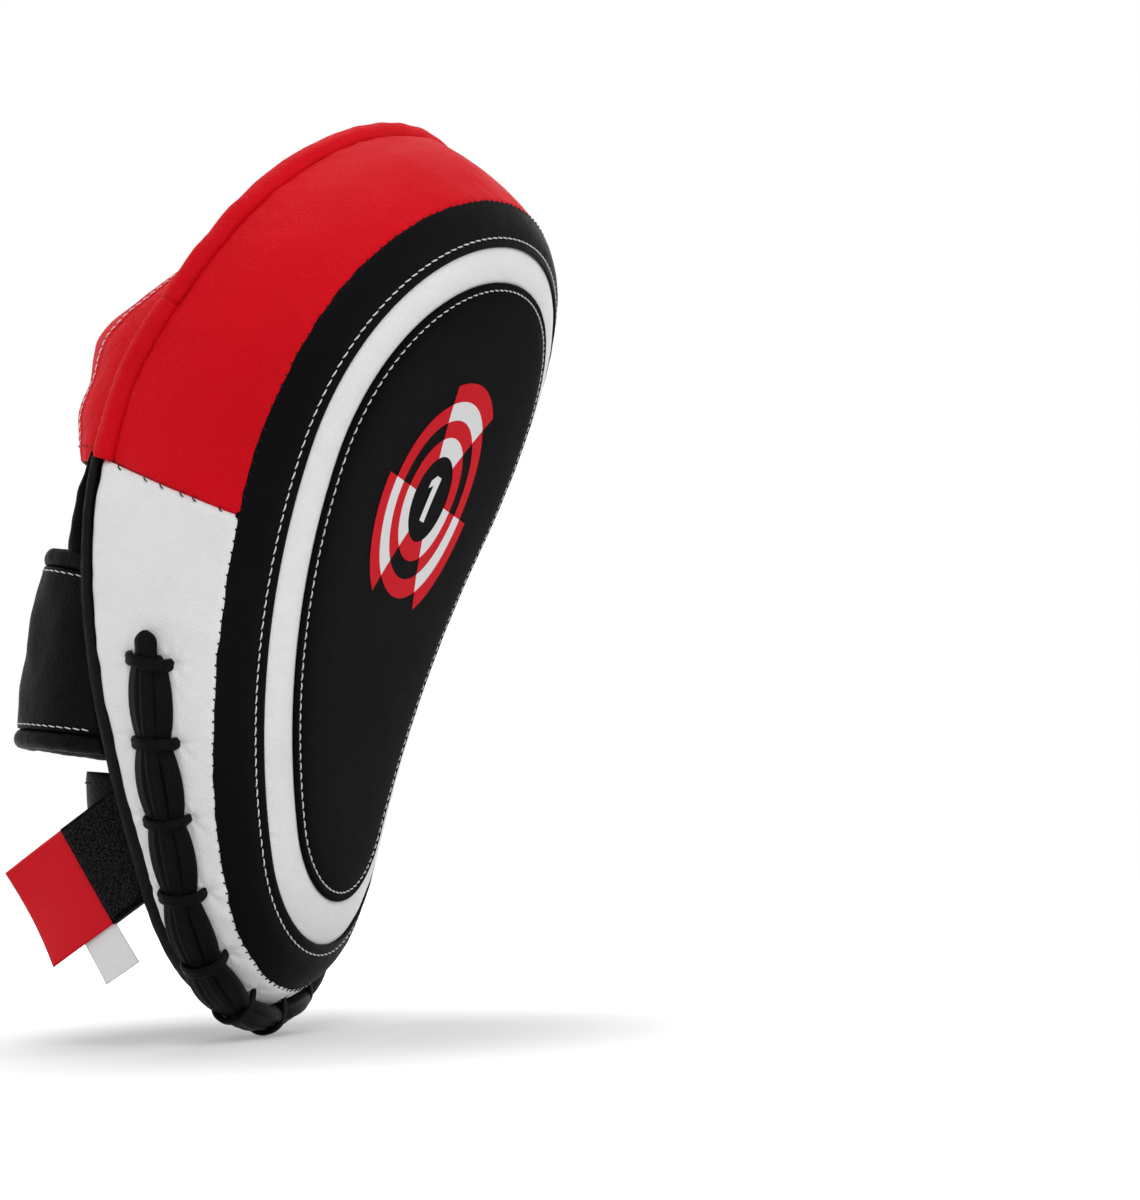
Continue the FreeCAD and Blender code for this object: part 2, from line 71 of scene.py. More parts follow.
def length(name, description, default):
    return bpy.props.FloatProperty(name=name, description=description, default=default,
                                   unit="LENGTH", subtype="DISTANCE", precision=4)


def colour(name, description, code):
    return bpy.props.FloatVectorProperty(name=name, description=description, default=linear(code),
                                         subtype="COLOR", min=0, max=1)


class PadSizes(bpy.types.PropertyGroup):
    crown_radius: length("Crown radius", "Top circle of the ring's outer edge", 92 * MM)
    toe_radius: length("Toe radius", "Bottom circle of the ring's outer edge", 59 * MM)
    circle_spacing: length("Circle spacing", "Between the two circles' centres", 112.4 * MM)
    flank_radius: length("Flank radius", "Arcs that join the two circles", 430 * MM)
    bend_radius: length("Bend radius", "Bend of the striking face", 333.3 * MM)
    lean_angle: bpy.props.FloatProperty(
        name="Lean", description="Lean of the face at the centre of its top circle",
        default=math.radians(26.1), unit="ROTATION", subtype="ANGLE")
    ring_drop: length("Ring drop", "Depth of the ring's outer edge", 14.4 * MM)
    face_roll: length("Face roll", "Width over which the face curves away", 27 * MM)
    band_inner: length("Band inner edge", "Inset of the white band's inner edge", 21.2 * MM)
    leather: length("Leather", "Thickness of the skins", 1.6 * MM)
    bulge: length("Side bulge", "How far the sides swell", 3.3 * MM)
    seam_up: length("Colour seam", "Where the red side meets the white side", -33 * MM)
    crown_depth: length("Crown depth", "Depth of the back at the crown", 62.5 * MM)
    waist_depth: length("Waist depth", "Depth of the back at the waist", 67 * MM)
    toe_depth: length("Toe depth", "Depth of the back at the toe", 41 * MM)
    piping_radius: length("Piping radius", "Red rolled edge", 3.6 * MM)
    stitch_pitch: length("Stitch pitch", "From one stitch to the next", 3.2 * MM)
    target_radius: length("Target radius", "Outer ring of the printed target", 38.5 * MM)
    loop_pitch: length("Loop pitch", "From one cross loop of the lace to the next", 21.6 * MM)


class PadColours(bpy.types.PropertyGroup):
    black: colour("Black leather", "Striking face, cuff and strap", "0D0D0F")
    red: colour("Red leather", "Upper side, piping and hood", "D30B1A")
    white: colour("White leather", "Band and lower side", "ECECEE")
    thread: colour("Thread", "Top stitching", "F2F2F0")
    ink_red: colour("Red ink", "Printed target", "CF1220")
    ink_white: colour("White ink", "Printed target", "E9E9EA")
    filling: colour("Filling", "Foam, gel and board inside", "8A8578")
    lace: colour("Lace", "Polyester lace", "0C0C0E")
    label: colour("Red label", "Woven label", "D8101F")


# ---------------------------------------------------------------- the pad's form
def unit(value):
    """The value, kept between 0 and 1."""
    return min(max(value, 0.0), 1.0)


def ease(share):
    return (1 - math.cos(PI * unit(share))) / 2


def mix(first, second, share):
    return first + (second - first) * share


def hump(distance, width):
    """1 at no distance, falling away smoothly over about this width."""
    return math.exp(-(distance / width) ** 2)


def signed_power(value, power):
    return math.copysign(abs(value) ** power, value)


def spread(start, end, steps):
    """Evenly spaced values with both ends."""
    return [start + (end - start) * k / steps for k in range(steps + 1)]


def around(count, whole=1.0):
    """Evenly spaced values round something closed, so without the end."""
    return [whole * k / count for k in range(count)]


def curve_through(stations, x):
    """Smooth value at x of a curve through (x, value) stations given in rising order of x."""
    x = min(max(x, stations[0][0]), stations[-1][0])
    last = len(stations) - 1
    i = max(k for k in range(last) if stations[k][0] <= x)
    before, start, end, after = (stations[k] for k in (max(i - 1, 0), i, i + 1, min(i + 2, last)))
    wide = end[0] - start[0]
    t = (x - start[0]) / wide
    slope_a = (end[1] - before[1]) / (end[0] - before[0]) * wide
    slope_b = (after[1] - start[1]) / (after[0] - start[0]) * wide
    return ((2 * t ** 3 - 3 * t ** 2 + 1) * start[1] + (t ** 3 - 2 * t ** 2 + t) * slope_a
            + (-2 * t ** 3 + 3 * t ** 2) * end[1] + (t ** 3 - t ** 2) * slope_b)


class PadForm:
    """Outlines and depths of the bent pad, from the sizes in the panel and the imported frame."""
    TOE_DRAW = 0.3    # share of an inset by which the toe's circle comes nearer
    CROWN_STATION, WAIST_STATION, TOE_STATION = 30 * MM, -22 * MM, -165 * MM
    PANEL_DROP = 1.2 * MM
    ROLL_POWER = 2.2

    def __init__(self, sizes):
        self.s = sizes
        low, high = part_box("centre_panel")
        angle = sizes.lean_angle + (sizes.crown_radius - sizes.band_inner) / sizes.bend_radius
        near = sizes.bend_radius + self.PANEL_DROP
        self.axis_y = low.y - near * math.cos(angle)
        self.axis_z = high.z - (near + sizes.leather) * math.sin(angle)
        self.lengths = [arc[1] * (arc[2] - arc[3]) for arc in self.arcs(0.0)]
        self.round_trip = 2 * sum(self.lengths)

    @functools.lru_cache(maxsize=None)
    def arcs(self, inset):
        """(centre, radius, start angle, end angle) of the right side's three tangent arcs."""
        crown, toe, flank = (radius - inset for radius in (
            self.s.crown_radius, self.s.toe_radius, self.s.flank_radius))
        spacing = self.s.circle_spacing - self.TOE_DRAW * inset
        to_crown, to_toe = flank - crown, flank - toe
        up = (to_toe ** 2 - to_crown ** 2 - spacing ** 2) / (2 * spacing)
        across = math.sqrt(to_crown ** 2 - up ** 2)
        first = math.atan2(-up, across)
        last = math.atan2(-spacing - up, across)
        return (((0.0, 0.0), crown, PI / 2, first), ((-across, up), flank, first, last),
                ((0.0, -spacing), toe, last, -PI / 2))

    def on_outline(self, share, inset=0.0):
        """(across, up, outward direction) on the outline at this inset."""
        share %= 1.0
        hand = 1
        if share > 0.5:
            share, hand = 1 - share, -1
        distance = share * self.round_trip
        for part, span in enumerate(self.lengths):
            if distance <= span or part == 2:
                break
            distance -= span
        (cx, cy), radius, start, end = self.arcs(round(inset, 7))[part]
        angle = mix(start, end, min(distance / span, 1.0))
        c, s = math.cos(angle), math.sin(angle)
        return hand * (cx + radius * c), cy + radius * s, (hand * c, s)

    def spine(self, share):
        """Height of the middle line's point that this place of the outline shrinks to."""
        share %= 1.0
        distance = min(share, 1 - share) * self.round_trip - self.lengths[0]
        return -self.s.circle_spacing * unit(distance / self.lengths[1])

    def share_at(self, up):
        """Share of the right side's outline at this height."""
        low, high = 0.0, 0.5
        for _ in range(40):
            middle = (low + high) / 2
            if self.on_outline(middle)[1] > up:
                low = middle
            else:
                high = middle
        return low

    def face_depth(self, inset):
        return self.s.ring_drop * max(1 - inset / self.s.face_roll, 0.0) ** self.ROLL_POWER

    @functools.lru_cache(maxsize=None)
    def back_depth(self, up):
        far, depth = ((self.CROWN_STATION, self.s.crown_depth) if up > self.WAIST_STATION
                      else (self.TOE_STATION, self.s.toe_depth))
        share = (up - self.WAIST_STATION) / (far - self.WAIST_STATION)
        return mix(self.s.waist_depth, depth, ease(share))

    def side_width(self, up):
        """From the ring to the back."""
        return self.back_depth(up) - self.s.ring_drop

    def angle(self, up):
        return self.s.lean_angle + up / self.s.bend_radius

    def place(self, across, up, depth):
        angle = self.angle(up)
        reach = self.s.bend_radius + depth
        return Vector((across, self.axis_y + reach * math.cos(angle),
                       self.axis_z + reach * math.sin(angle)))

    def rearward(self, up):
        """Unit vector towards the back at this height."""
        return Vector((0, math.cos(self.angle(up)), math.sin(self.angle(up))))

    def outward(self, share):
        """Unit vector straight out of the side."""
        _, up, (x, z) = self.on_outline(share)
        upward = Vector((0, -math.sin(self.angle(up)), math.cos(self.angle(up))))
        return (Vector((x, 0, 0)) + upward * z).normalized()

    def on_face(self, share, inset, proud=0.0):
        across, up, _ = self.on_outline(share, inset)
        return self.place(across, up, self.face_depth(inset) - proud)

    def face_normal(self, share, inset):
        across = self.on_face(share, inset + 0.4 * MM) - self.on_face(share, inset - 0.4 * MM)
        along = self.on_face(share + 0.001, inset) - self.on_face(share - 0.001, inset)
        normal = along.cross(across).normalized()
        return -normal if normal.y > 0 else normal

    def on_side(self, share, depth_share, proud=0.0):
        """A point of the bulging side; proud is how far it stands out of it."""
        swell = self.s.bulge * math.sin(PI * unit(depth_share))
        across, up, _ = self.on_outline(share, -swell - proud)
        return self.place(across, up, mix(self.s.ring_drop, self.back_depth(up), depth_share))

    def on_back(self, across, up, height=0.0):
        return self.place(across, up, self.back_depth(up) + height)


def form():
    return PadForm(bpy.context.scene.pad_sizes)


def ripple(point, size, amount, seed=0.0):
    """Smooth unevenness of sewn leather: waves about this size, up to this amount."""
    return amount * noise.noise(point / size + Vector((seed, 3.7 * seed, -seed)))


def puffed(section, size, amount, seed):
    """The closed section with its points rippled out from its centre."""
    centre = sum(section, Vector()) / len(section)
    return [p + (p - centre).normalized() * ripple(p, size, amount, seed) for p in section]


# ---------------------------------------------------------------- meshes
class Sewing:
    """Collects vertices and faces for one piece."""

    def __init__(self):
        self.verts = []
        self.faces = []

    def grid(self, rows, wrap_rows=False, wrap_columns=False):
        start, wide, tall = len(self.verts), len(rows[0]), len(rows)
        for row in rows:
            self.verts += row
        for r in range(tall if wrap_rows else tall - 1):
            below, above = start + r * wide, start + (r + 1) % tall * wide
            for c in range(wide if wrap_columns else wide - 1):
                n = (c + 1) % wide
                self.faces.append((below + c, below + n, above + n, above + c))
        return start

    def two_sided(self, fronts, backs):
        """Closed disc from rows that run from its rim to its middle, in front and behind."""
        front, back = self.grid(fronts, True), self.grid(backs, True)
        wide, tall = len(fronts[0]), len(fronts)
        for r in range(tall):
            n = (r + 1) % tall
            self.faces.append((front + r * wide, back + r * wide,
                               back + n * wide, front + n * wide))

    def sweep(self, rows, wrap=False):
        """Closed sections joined one to the next, with flat ends unless they close into a ring."""
        start, wide = self.grid(rows, wrap, True), len(rows[0])
        if not wrap:
            last = start + (len(rows) - 1) * wide
            self.faces.append(tuple(range(start + wide - 1, start - 1, -1)))
            self.faces.append(tuple(range(last, last + wide)))

    def tube(self, points, normals, section):
        """Sweeps section(number, steps from the nearer end), (sideways, out) pairs, along points."""
        rows = []
        last = len(points) - 1
        for i, (point, normal) in enumerate(zip(points, normals)):
            along = (points[min(i + 1, last)] - points[max(i - 1, 0)]).normalized()
            side = along.cross(normal).normalized()
            out = side.cross(along).normalized()
            rows.append([point + side * x + out * z for x, z in section(i, min(i, last - i))])
        self.sweep(rows)

    def cord(self, points, normals, wide, thick, sides=6):
        """Oval cord with rounded ends."""
        def section(_, from_end):
            close = math.sin(PI / 2 * min(from_end + 0.35, 1.0)) / 2
            return [(wide * close * math.cos(a), thick * close * math.sin(a))
                    for a in around(sides, TURN)]
        self.tube(points, normals, section)

    def braid(self, points, normals, wides, thicks, taper):
        """Flat cord with a hollow along its middle, as a tubular braid lies."""
        def section(number, from_end):
            close = math.sin(PI / 2 * min((from_end + 0.3) / taper, 1.0)) ** 0.6 / 2
            row = []
            for angle in around(18, TURN):
                c, s = math.cos(angle), math.sin(angle)
                dip = 1 - 0.32 * hump(c, 0.3) if s > 0 else 1.0
                row.append((wides[number] * close * c, thicks[number] * close * s * dip))
            return row
        self.tube(points, normals, section)

    def piece(self, name, finish, slot, node=None, fill=None, body="pad", merge=0.0,
              smooth=True, facing=None):
        """Makes the object on its body and hides the imported node it stands for; fill, how full it is,
        is not used.
        """
        mesh = bpy.data.meshes.new(name)
        mesh.from_pydata([tuple(v) for v in self.verts], [], self.faces)
        work = bmesh.new()
        work.from_mesh(mesh)
        if merge:
            bmesh.ops.remove_doubles(work, verts=work.verts, dist=merge)
        bmesh.ops.recalc_face_normals(work, faces=work.faces)
        if facing and sum((f.normal * f.calc_area() for f in work.faces), Vector()).dot(facing) < 0:
            bmesh.ops.reverse_faces(work, faces=work.faces)
        work.to_mesh(mesh)
        work.free()
        mesh.polygons.foreach_set("use_smooth", [smooth] * len(mesh.polygons))
        item = bpy.data.objects.new(name, mesh)
        bpy.context.scene.collection.objects.link(item)
        mesh.materials.append(material(finish))
        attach(item, body)
        if node:
            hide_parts(node)
        return item


def swept(pad, shares, section, base=lambda up: 0.0):
    """Rows of points along the outline; section(share) gives (inset, depth past the base) pairs."""
    rows = []
    for share in shares:
        row = []
        for inset, depth in section(share):
            across, up, _ = pad.on_outline(share, inset)
            row.append(pad.place(across, up, base(up) + depth))
        rows.append(row)
    return rows


def back_line(pad, shares, inset, rear):
    """Points along the outline at this inset, this far behind the back."""
    return [row[0] for row in swept(pad, shares, lambda share: [(inset, rear)], pad.back_depth)]


STITCH_FILL, STITCH_SLANT, STITCH_LIFT = 0.8, 0.16 * MM, 0.08 * MM


def stitches(sewing, path, normals, pitch, thick=0.46 * MM):
    """Thread along a seam: each stitch dives in at both ends and slants a little."""
    ends = [0.0]
    for a, b in zip(path, path[1:]):
        ends.append(ends[-1] + (b - a).length)
    count = max(int(round(ends[-1] / pitch)), 1)
    index = 0
    for number in range(count):
        points, ups = [], []
        for k in spread(-0.5, 0.5, 4):
            along = (number + 0.5 + k * STITCH_FILL) * ends[-1] / count
            while index < len(path) - 2 and ends[index + 1] < along:
                index += 1
            while index > 0 and ends[index] > along:
                index -= 1
            t = (along - ends[index]) / max(ends[index + 1] - ends[index], 1e-9)
            normal = normals[index].lerp(normals[index + 1], t).normalized()
            side = (path[index + 1] - path[index]).normalized().cross(normal)
            rise = STITCH_LIFT + thick * (0.25 - 2.42 * k * k)
            points.append(path[index].lerp(path[index + 1], t) + normal * rise
                          + side * (2 * STITCH_SLANT * k))
            ups.append(normal)
        sewing.cord(points, ups, thick, thick)


# ---------------------------------------------------------------- materials
def add_node(tree, kind, links=(), **settings):
    """Adds a node right of its sources, sets settings and inputs by name, and links the pairs."""
    node = tree.nodes.new(kind)
    right = max([socket.node.location.x for _, socket in links], default=-200)
    node.location = (right + 200, -180 * (len(tree.nodes) % 5))
    for name, value in settings.items():
        if hasattr(node, name):
            setattr(node, name, value)
        else:
            node.inputs[name.replace("_", " ")].default_value = value
    for target, source in links:
        tree.links.new(source, node.inputs[target])
    return node


def shade_between(tree, factor, base, dark, light, low, high):
    """Colour socket from base times dark to base times light, as factor goes from low to high."""
    ramp = add_node(tree, "ShaderNodeValToRGB", [("Fac", factor)])
    for element, at, level in zip(ramp.color_ramp.elements, (low, high), (dark, light)):
        element.position = at
        element.color = tint(base, level)
    return ramp.outputs[0]


def new_tree(owner, output):
    """The owner's node tree, emptied, and the output node added to it."""
    owner.use_nodes = True
    owner.node_tree.nodes.clear()
    return owner.node_tree, add_node(owner.node_tree, output)


def new_material(name):
    """Material with only its output, and object coordinates in millimetres for the patterns."""
    item = bpy.data.materials.new(name)
    tree, output = new_tree(item, "ShaderNodeOutputMaterial")
    where = add_node(tree, "ShaderNodeTexCoord").outputs["Object"]
    scaled = add_node(tree, "ShaderNodeVectorMath", [(0, where)], operation="MULTIPLY")
    scaled.inputs[1].default_value = (1000, 1000, 1000)
    return item, tree, output, scaled.outputs[0]


def tint(base, factor):
    return tuple(min(c * factor, 1.0) for c in base[:3]) + (1.0,)


def grained_leather(name, base, roughness, grain, depth, crease, coat, dark, light, specular,
                    smudge=0.1):
    """Coated split leather: pressed grain this many millimetres wide, soft creases, satin coat."""
    item, tree, output, mm = new_material(name)
    at = [("Vector", mm)]
    wander = add_node(tree, "ShaderNodeTexNoise", at, Scale=0.012, Detail=4.0, Roughness=0.6)
    shade = shade_between(tree, wander.outputs["Fac"], base, dark, light, 0.3, 0.72)
    pebbles = add_node(tree, "ShaderNodeTexVoronoi", at, feature="DISTANCE_TO_EDGE",
                       Scale=1 / grain, Randomness=1.0)
    soft = add_node(tree, "ShaderNodeMapRange", [("Value", pebbles.outputs["Distance"])],
                    interpolation_type="SMOOTHSTEP", From_Max=0.32)
    pores = add_node(tree, "ShaderNodeTexNoise", at, Scale=1.7 / grain, Detail=5.0,
                     Roughness=0.65).outputs["Fac"]
    creases = add_node(tree, "ShaderNodeTexNoise", at, Scale=0.085, Detail=3.0, Roughness=0.5,
                       Distortion=0.6)
    fine = add_node(tree, "ShaderNodeMath", [(0, soft.outputs[0]), (1, pores)], operation="ADD")
    rough = add_node(tree, "ShaderNodeMapRange", [("Value", pores)], To_Min=roughness - smudge,
                     To_Max=roughness + smudge)
    low = add_node(tree, "ShaderNodeBump", [("Height", creases.outputs["Fac"])], Strength=crease,
                   Distance=1.6 * MM)
    bump = add_node(tree, "ShaderNodeBump", [("Height", fine.outputs[0]),
                                            ("Normal", low.outputs[0])],
                    Strength=1.0, Distance=depth * MM)
    shader = add_node(tree, "ShaderNodeBsdfPrincipled",
                      [("Base Color", shade), ("Roughness", rough.outputs[0]),
                       ("Normal", bump.outputs[0])],
                      IOR=1.48, Coat_Weight=coat, Coat_Roughness=0.3, Specular_IOR_Level=specular)
    tree.links.new(shader.outputs[0], output.inputs["Surface"])
    return item


def woven(name, base, thread, depth, roughness, sheen, axes, fuzz=0.0, light=1.25, dark=0.7,
          specular=0.1):
    """Cloth: crossing threads this many millimetres wide; fuzz adds a raised nap instead. The colour
    follows the relief: lighter on the raised threads and nap, darker in the hollows, a painted highlight
    and painted shade.
    """
    item, tree, output, mm = new_material(name)
    parts = add_node(tree, "ShaderNodeSeparateXYZ", [(0, mm)])
    waves = []
    for axis in axes:
        wave = add_node(tree, "ShaderNodeMath", [(0, parts.outputs[axis])], operation="MULTIPLY")
        wave.inputs[1].default_value = PI / thread
        for step in ("SINE", "ABSOLUTE"):
            wave = add_node(tree, "ShaderNodeMath", [(0, wave.outputs[0])], operation=step)
        waves.append(wave.outputs[0])
    weave = add_node(tree, "ShaderNodeMath", [(0, waves[0]), (1, waves[1])],
                     operation="MULTIPLY")
    nap = add_node(tree, "ShaderNodeTexNoise", [("Vector", mm)], Scale=1.1,
                   Detail=8.0, Roughness=0.78)
    height = add_node(tree, "ShaderNodeMix", [(2, weave.outputs[0]), (3, nap.outputs["Fac"])],
                      data_type="FLOAT")
    height.inputs[0].default_value = fuzz
    # painted highlight and painted shade: the colour comes from the weave's height, darker in its hollows
    shade = shade_between(tree, height.outputs[0], base, dark, light, 0.2, 0.75)
    bump = add_node(tree, "ShaderNodeBump", [("Height", height.outputs[0])], Strength=1.0,
                    Distance=(depth + 0.5 * fuzz) * MM)
    shader = add_node(tree, "ShaderNodeBsdfPrincipled",
                      [("Base Color", shade), ("Normal", bump.outputs[0])], Roughness=roughness,
                      IOR=1.5, Specular_IOR_Level=specular, Sheen_Weight=sheen, Sheen_Roughness=0.4)
    tree.links.new(shader.outputs[0], output.inputs["Surface"])
    return item


# colour and its factor, then roughness, grain and its depth (mm), creases, coat, darkest and
# lightest shade, specular level, smudges
LEATHERS = {
    # smooth coated leather over gel: soft sheen, faint grain
    "face_leather": ("pressed_black_face_leather",
        "black", 1, 0.62, 0.7, 0.05, 0.12, 0, 0.7, 1.1, 0.01),
    # the same leather pulled round the edge
    "ring_leather": ("stretched_black_ring_leather",
        "black", 1, 0.5, 0.8, 0.07, 0.35, 0, 0.7, 1.1, 0.025),
    # thinner and grainier, so the highlight breaks up
    "cuff_leather": ("grained_black_cuff_leather",
        "black", 1, 0.42, 0.95, 0.16, 0.4, 0, 0.6, 1.1, 0.02),
    # softer and open-grained where the hand lies; drawn 2.2 times paler than the black, a painted sheen
    # that gives the dark back its definition
    "palm_leather": ("soft_black_palm_leather",
        "black", 2.2, 0.5, 1.2, 0.2, 0.7, 0, 0.6, 1.35, 0.09),
    "red_leather": ("coated_red_leather", "red", 1, 0.5, 0.9, 0.1, 0.5, 0, 0.9, 1.08, 0.05),
    # opaque white coat: shallow grain, wide soft puckers
    "white_leather": ("coated_white_leather", "white", 1, 0.5, 0.9, 0.08, 0.6, 0, 0.93, 1.03, 0.15),
    # folded edge tape of glossy coated fabric
    "binding": ("glossy_black_edge_binding", "black", 1, 0.34, 0.5, 0.06, 0.6, 0, 0.7, 1.1, 0.06),
    # screen-printed ink, flatter than the leather below
    "ink_red": ("printed_red_ink", "ink_red", 1, 0.6, 0.7, 0.035, 0.1, 0, 0.94, 1.05, 0.04, 0.05),
    "ink_white": ("printed_white_ink",
        "ink_white", 1, 0.6, 0.7, 0.035, 0.1, 0, 0.95, 1.02, 0.04, 0.05),
    # soft gel sheet: smooth, slightly oily
    "gel": ("soft_gel_sheet", "filling", 0.35, 0.22, 2.5, 0.02, 0.3, 0.3, 0.9, 1.1, 0.5, 0.05),
}
# colour and its factor, then thread and its depth (mm), roughness, sheen, the threads' axes, nap,
# lightest and darkest shade (painted highlight on the raised threads, painted shade in the hollows),
# specular level
CLOTHS = {
    "thread": ("twisted_white_thread", "thread", 1, 0.25, 0.05, 0.6, 0.02, (0, 2)),
    "black_thread": ("twisted_black_thread", "black", 0.7, 0.25, 0.05, 0.55, 0.02, (0, 2)),
    # red thread at 0.45 of the red; along the piping's groove this darkness is also painted shade
    "red_thread": ("twisted_red_thread", "red", 0.45, 0.25, 0.05, 0.6, 0.02, (0, 2)),
    # flat braided polyester with a satin face
    "lace": ("braided_black_lace", "lace", 1, 0.4, 0.1, 0.36, 0, (0, 2), 0, 1.3, 0.5, 0.04),
    # loop side of the strap's fastening: matt raised nap, and fibres on top drawn four times paler than
    # the black, a painted highlight where they catch the light
    "pile": ("black_loop_pile", "black", 0.9, 0.5, 0.1, 0.95, 0.06, (1, 2), 0.85, 1.6, 0.4, 0.04),
    "pile_fibres": ("black_pile_fibres", "black", 4, 0.3, 0.05, 0.8, 0.1, (1, 2), 0.5, 1.6, 0.6),
    "lining": ("brushed_knit_lining", "black", 1.2, 0.6, 0.15, 0.9, 0.08, (0, 2), 0.4),
    # woven satin tape, threads about 0.25 mm drawn at 0.4 mm so that they show
    "red_label": ("woven_red_satin", "label", 1, 0.4, 0.06, 0.5, 0.05, (1, 2), 0, 1.1, 0.75),
    "care_label": ("woven_white_satin", "white", 1, 0.4, 0.05, 0.55, 0.05, (1, 2), 0, 1.0, 0.88),
    # cut block foam: fine open cells, dull
    "foam": ("open_cell_foam", "filling", 1, 0.7, 0.2, 0.95, 0, (0, 2), 1, 1.15, 0.75),
    # pressed fibre board with short flecks
    "board": ("pressed_fibre_board", "filling", 0.5, 1.3, 0.05, 0.8, 0, (0, 2), 0.8, 1.3, 0.6),
}


@functools.lru_cache(maxsize=None)
def material(finish):
    make, table = (woven, CLOTHS) if finish in CLOTHS else (grained_leather, LEATHERS)
    name, base, factor, *numbers = table[finish]
    return make(name, tint(getattr(bpy.context.scene.pad_colours, base), factor), *numbers)


# ---------------------------------------------------------------- the striking face
PANEL_PROUD = 2.2 * MM
WELD = 0.02 * MM


def panel_swell(point):
    return ripple(point, 26 * MM, 0.25 * MM, 5.0)


class SewFace(bpy.types.Operator):
    """Centre panel, white band and outer ring, each a skin with folded, top-stitched edges."""
    bl_idname = "pad.face"
    bl_label = "Striking face"

    # (inset, proud) in mm
    PANEL = ((21.6, -1.4), (21.0, -0.6), (20.7, 0.15), (20.8, 0.75), (21.3, 1.05), (22.3, 0.95),
             (22.9, 0.6), (23.6, 0.95), (24.8, 1.3), (27, 1.6), (31, 1.9), (36, 2.1), (40, 2.2))
    BAND = ((21.8, -1.2), (20.9, -0.35), (19.5, 0.2), (17.5, 0.5), (15.5, 0.6), (13.5, 0.45),
            (11.5, 0.1), (10.1, -0.4), (9.2, -1.2))
    RING = ((10.1, -0.9), (10.35, -0.1), (10.2, 0.65), (9.6, 1.05), (8.6, 1.0), (7.8, 0.6), (7.0, 1.0),
            (5.6, 1.55), (4.2, 1.75), (2.8, 1.5), (1.6, 0.9), (0.6, 0.1), (0.1, -0.9))
    FOLD, SEAM = 2, 8    # points of the panel's profile that its folded edge and its seam take up
    SKIN = 1.5 * MM
    STITCHED = (22.9 * MM, 7.8 * MM)

    def execute(self, context):
        pad = form()
        shares = around(720)
        rows = []
        for share in shares:
            front = [pad.on_face(share, i * MM, p * MM) for i, p in self.PANEL]
            across, up, _ = pad.on_outline(share, self.PANEL[-1][0] * MM)
            front += [pad.place(mix(across, 0, t), mix(up, pad.spine(share), t), -PANEL_PROUD)
                      for t in spread(0, 1, 16)[1:]]
            for number, point in enumerate(front):
                if number > self.SEAM:
                    point.y -= panel_swell(point) * min((number - self.SEAM) / 6, 1)
                elif number > self.FOLD:
                    point.y -= ripple(point, 5 * MM, 0.1 * MM, 2.0)
            rows.append(front)
        sewing = Sewing()
        sewing.two_sided(rows, [[p + Vector((0, 1.6 * MM, 0)) for p in row] for row in rows])
        panel = sewing.piece("centre_panel_leather", "face_leather", "black_leather", "centre_panel",
                             merge=WELD)
        for name, profile, finish, slot, node in (
                ("white_band_leather", self.BAND, "white_leather", "white_leather", "white_band"),
                ("outer_ring_leather", self.RING, "ring_leather", "black_leather", "outer_ring")):
            front = [(i * MM, pad.face_depth(i * MM) - p * MM) for i, p in profile]
            closed = front + [(i, d + self.SKIN) for i, d in reversed(front)]
            rows = swept(pad, shares, lambda share: closed)
            for row in rows:
                for k in range(3, len(profile) - 2):
                    row[k] = row[k] + Vector((0, -ripple(row[k], 6 * MM, 0.16 * MM), 0))
            sewing = Sewing()
            sewing.sweep(rows, True)
            sewing.piece(name, finish, slot, node, 0.9)
        thread = Sewing()
        shares = around(900) + [0.0]
        for inset in self.STITCHED:
            stitches(thread, [pad.on_face(share, inset, 0.75 * MM) for share in shares],
                     [pad.face_normal(share, inset) for share in shares], pad.s.stitch_pitch)
        thread.piece("face_top_stitching", "thread", "white_leather")
        return {"FINISHED"}


class PrintTarget(bpy.types.Operator):
    """Printed rings and digit: thin ink areas laid on the panel."""
    bl_idname = "pad.target"
    bl_label = "Printed target"
    RINGS = (14.0, 20.3, 26.1, 32.3, 38.5)    # mm
    STRETCH = 1.1                             # a ring's height over its width
    CENTRE_UP = -6.0 * MM
    STEM = ((-1.9, 2.1), (-8.2, 8.2))
    FLAG = (((-1.9, 8.2), (-1.9, 4.6)), ((-5.0, 5.6), (-5.0, 2.8)))
    LIFT = 0.14 * MM

    def ink(self, pad, x, z, lift):
        point = pad.place(x, self.CENTRE_UP + z, -PANEL_PROUD - lift)
        point.y -= panel_swell(point)
        return point

    def sector(self, sewing, pad, ring, start):
        """A sixth of one ring."""
        scale = pad.s.target_radius / self.RINGS[-1]
        radii = spread(self.RINGS[ring] * scale, self.RINGS[ring + 1] * scale, 5)
        sewing.grid([[self.ink(pad, r * math.cos(a), self.STRETCH * r * math.sin(a), self.LIFT)
                      for r in radii]
                     for a in spread(math.radians(start), math.radians(start + 60), 24)])

    def execute(self, context):
        pad = form()
        red, white = Sewing(), Sewing()
        for start in (60, 180, 300):
            for ring in range(4):
                self.sector(red if ring % 2 else white, pad, ring, start)
        for start in (0, 120, 240):
            for ring in (0, 2):
                self.sector(red, pad, ring, start)
        stem = [[(x, z) for x in spread(*self.STEM[0], 4)] for z in spread(*self.STEM[1], 12)]
        for rows in (stem, self.FLAG):
            white.grid([[self.ink(pad, x * MM, z * MM, 0.15 * MM) for x, z in row] for row in rows])
        for sewing, colour_name in ((red, "red"), (white, "white")):
            sewing.piece("target_%s_ink" % colour_name, "ink_" + colour_name,
                         colour_name + "_leather", merge=0.005 * MM, facing=Vector((0, -1, 0)))
        return {"FINISHED"}


# ---------------------------------------------------------------- the sides
LACE_SHARE = 0.47    # where the lace runs between the ring and the back
LACE_TOP = -71 * MM


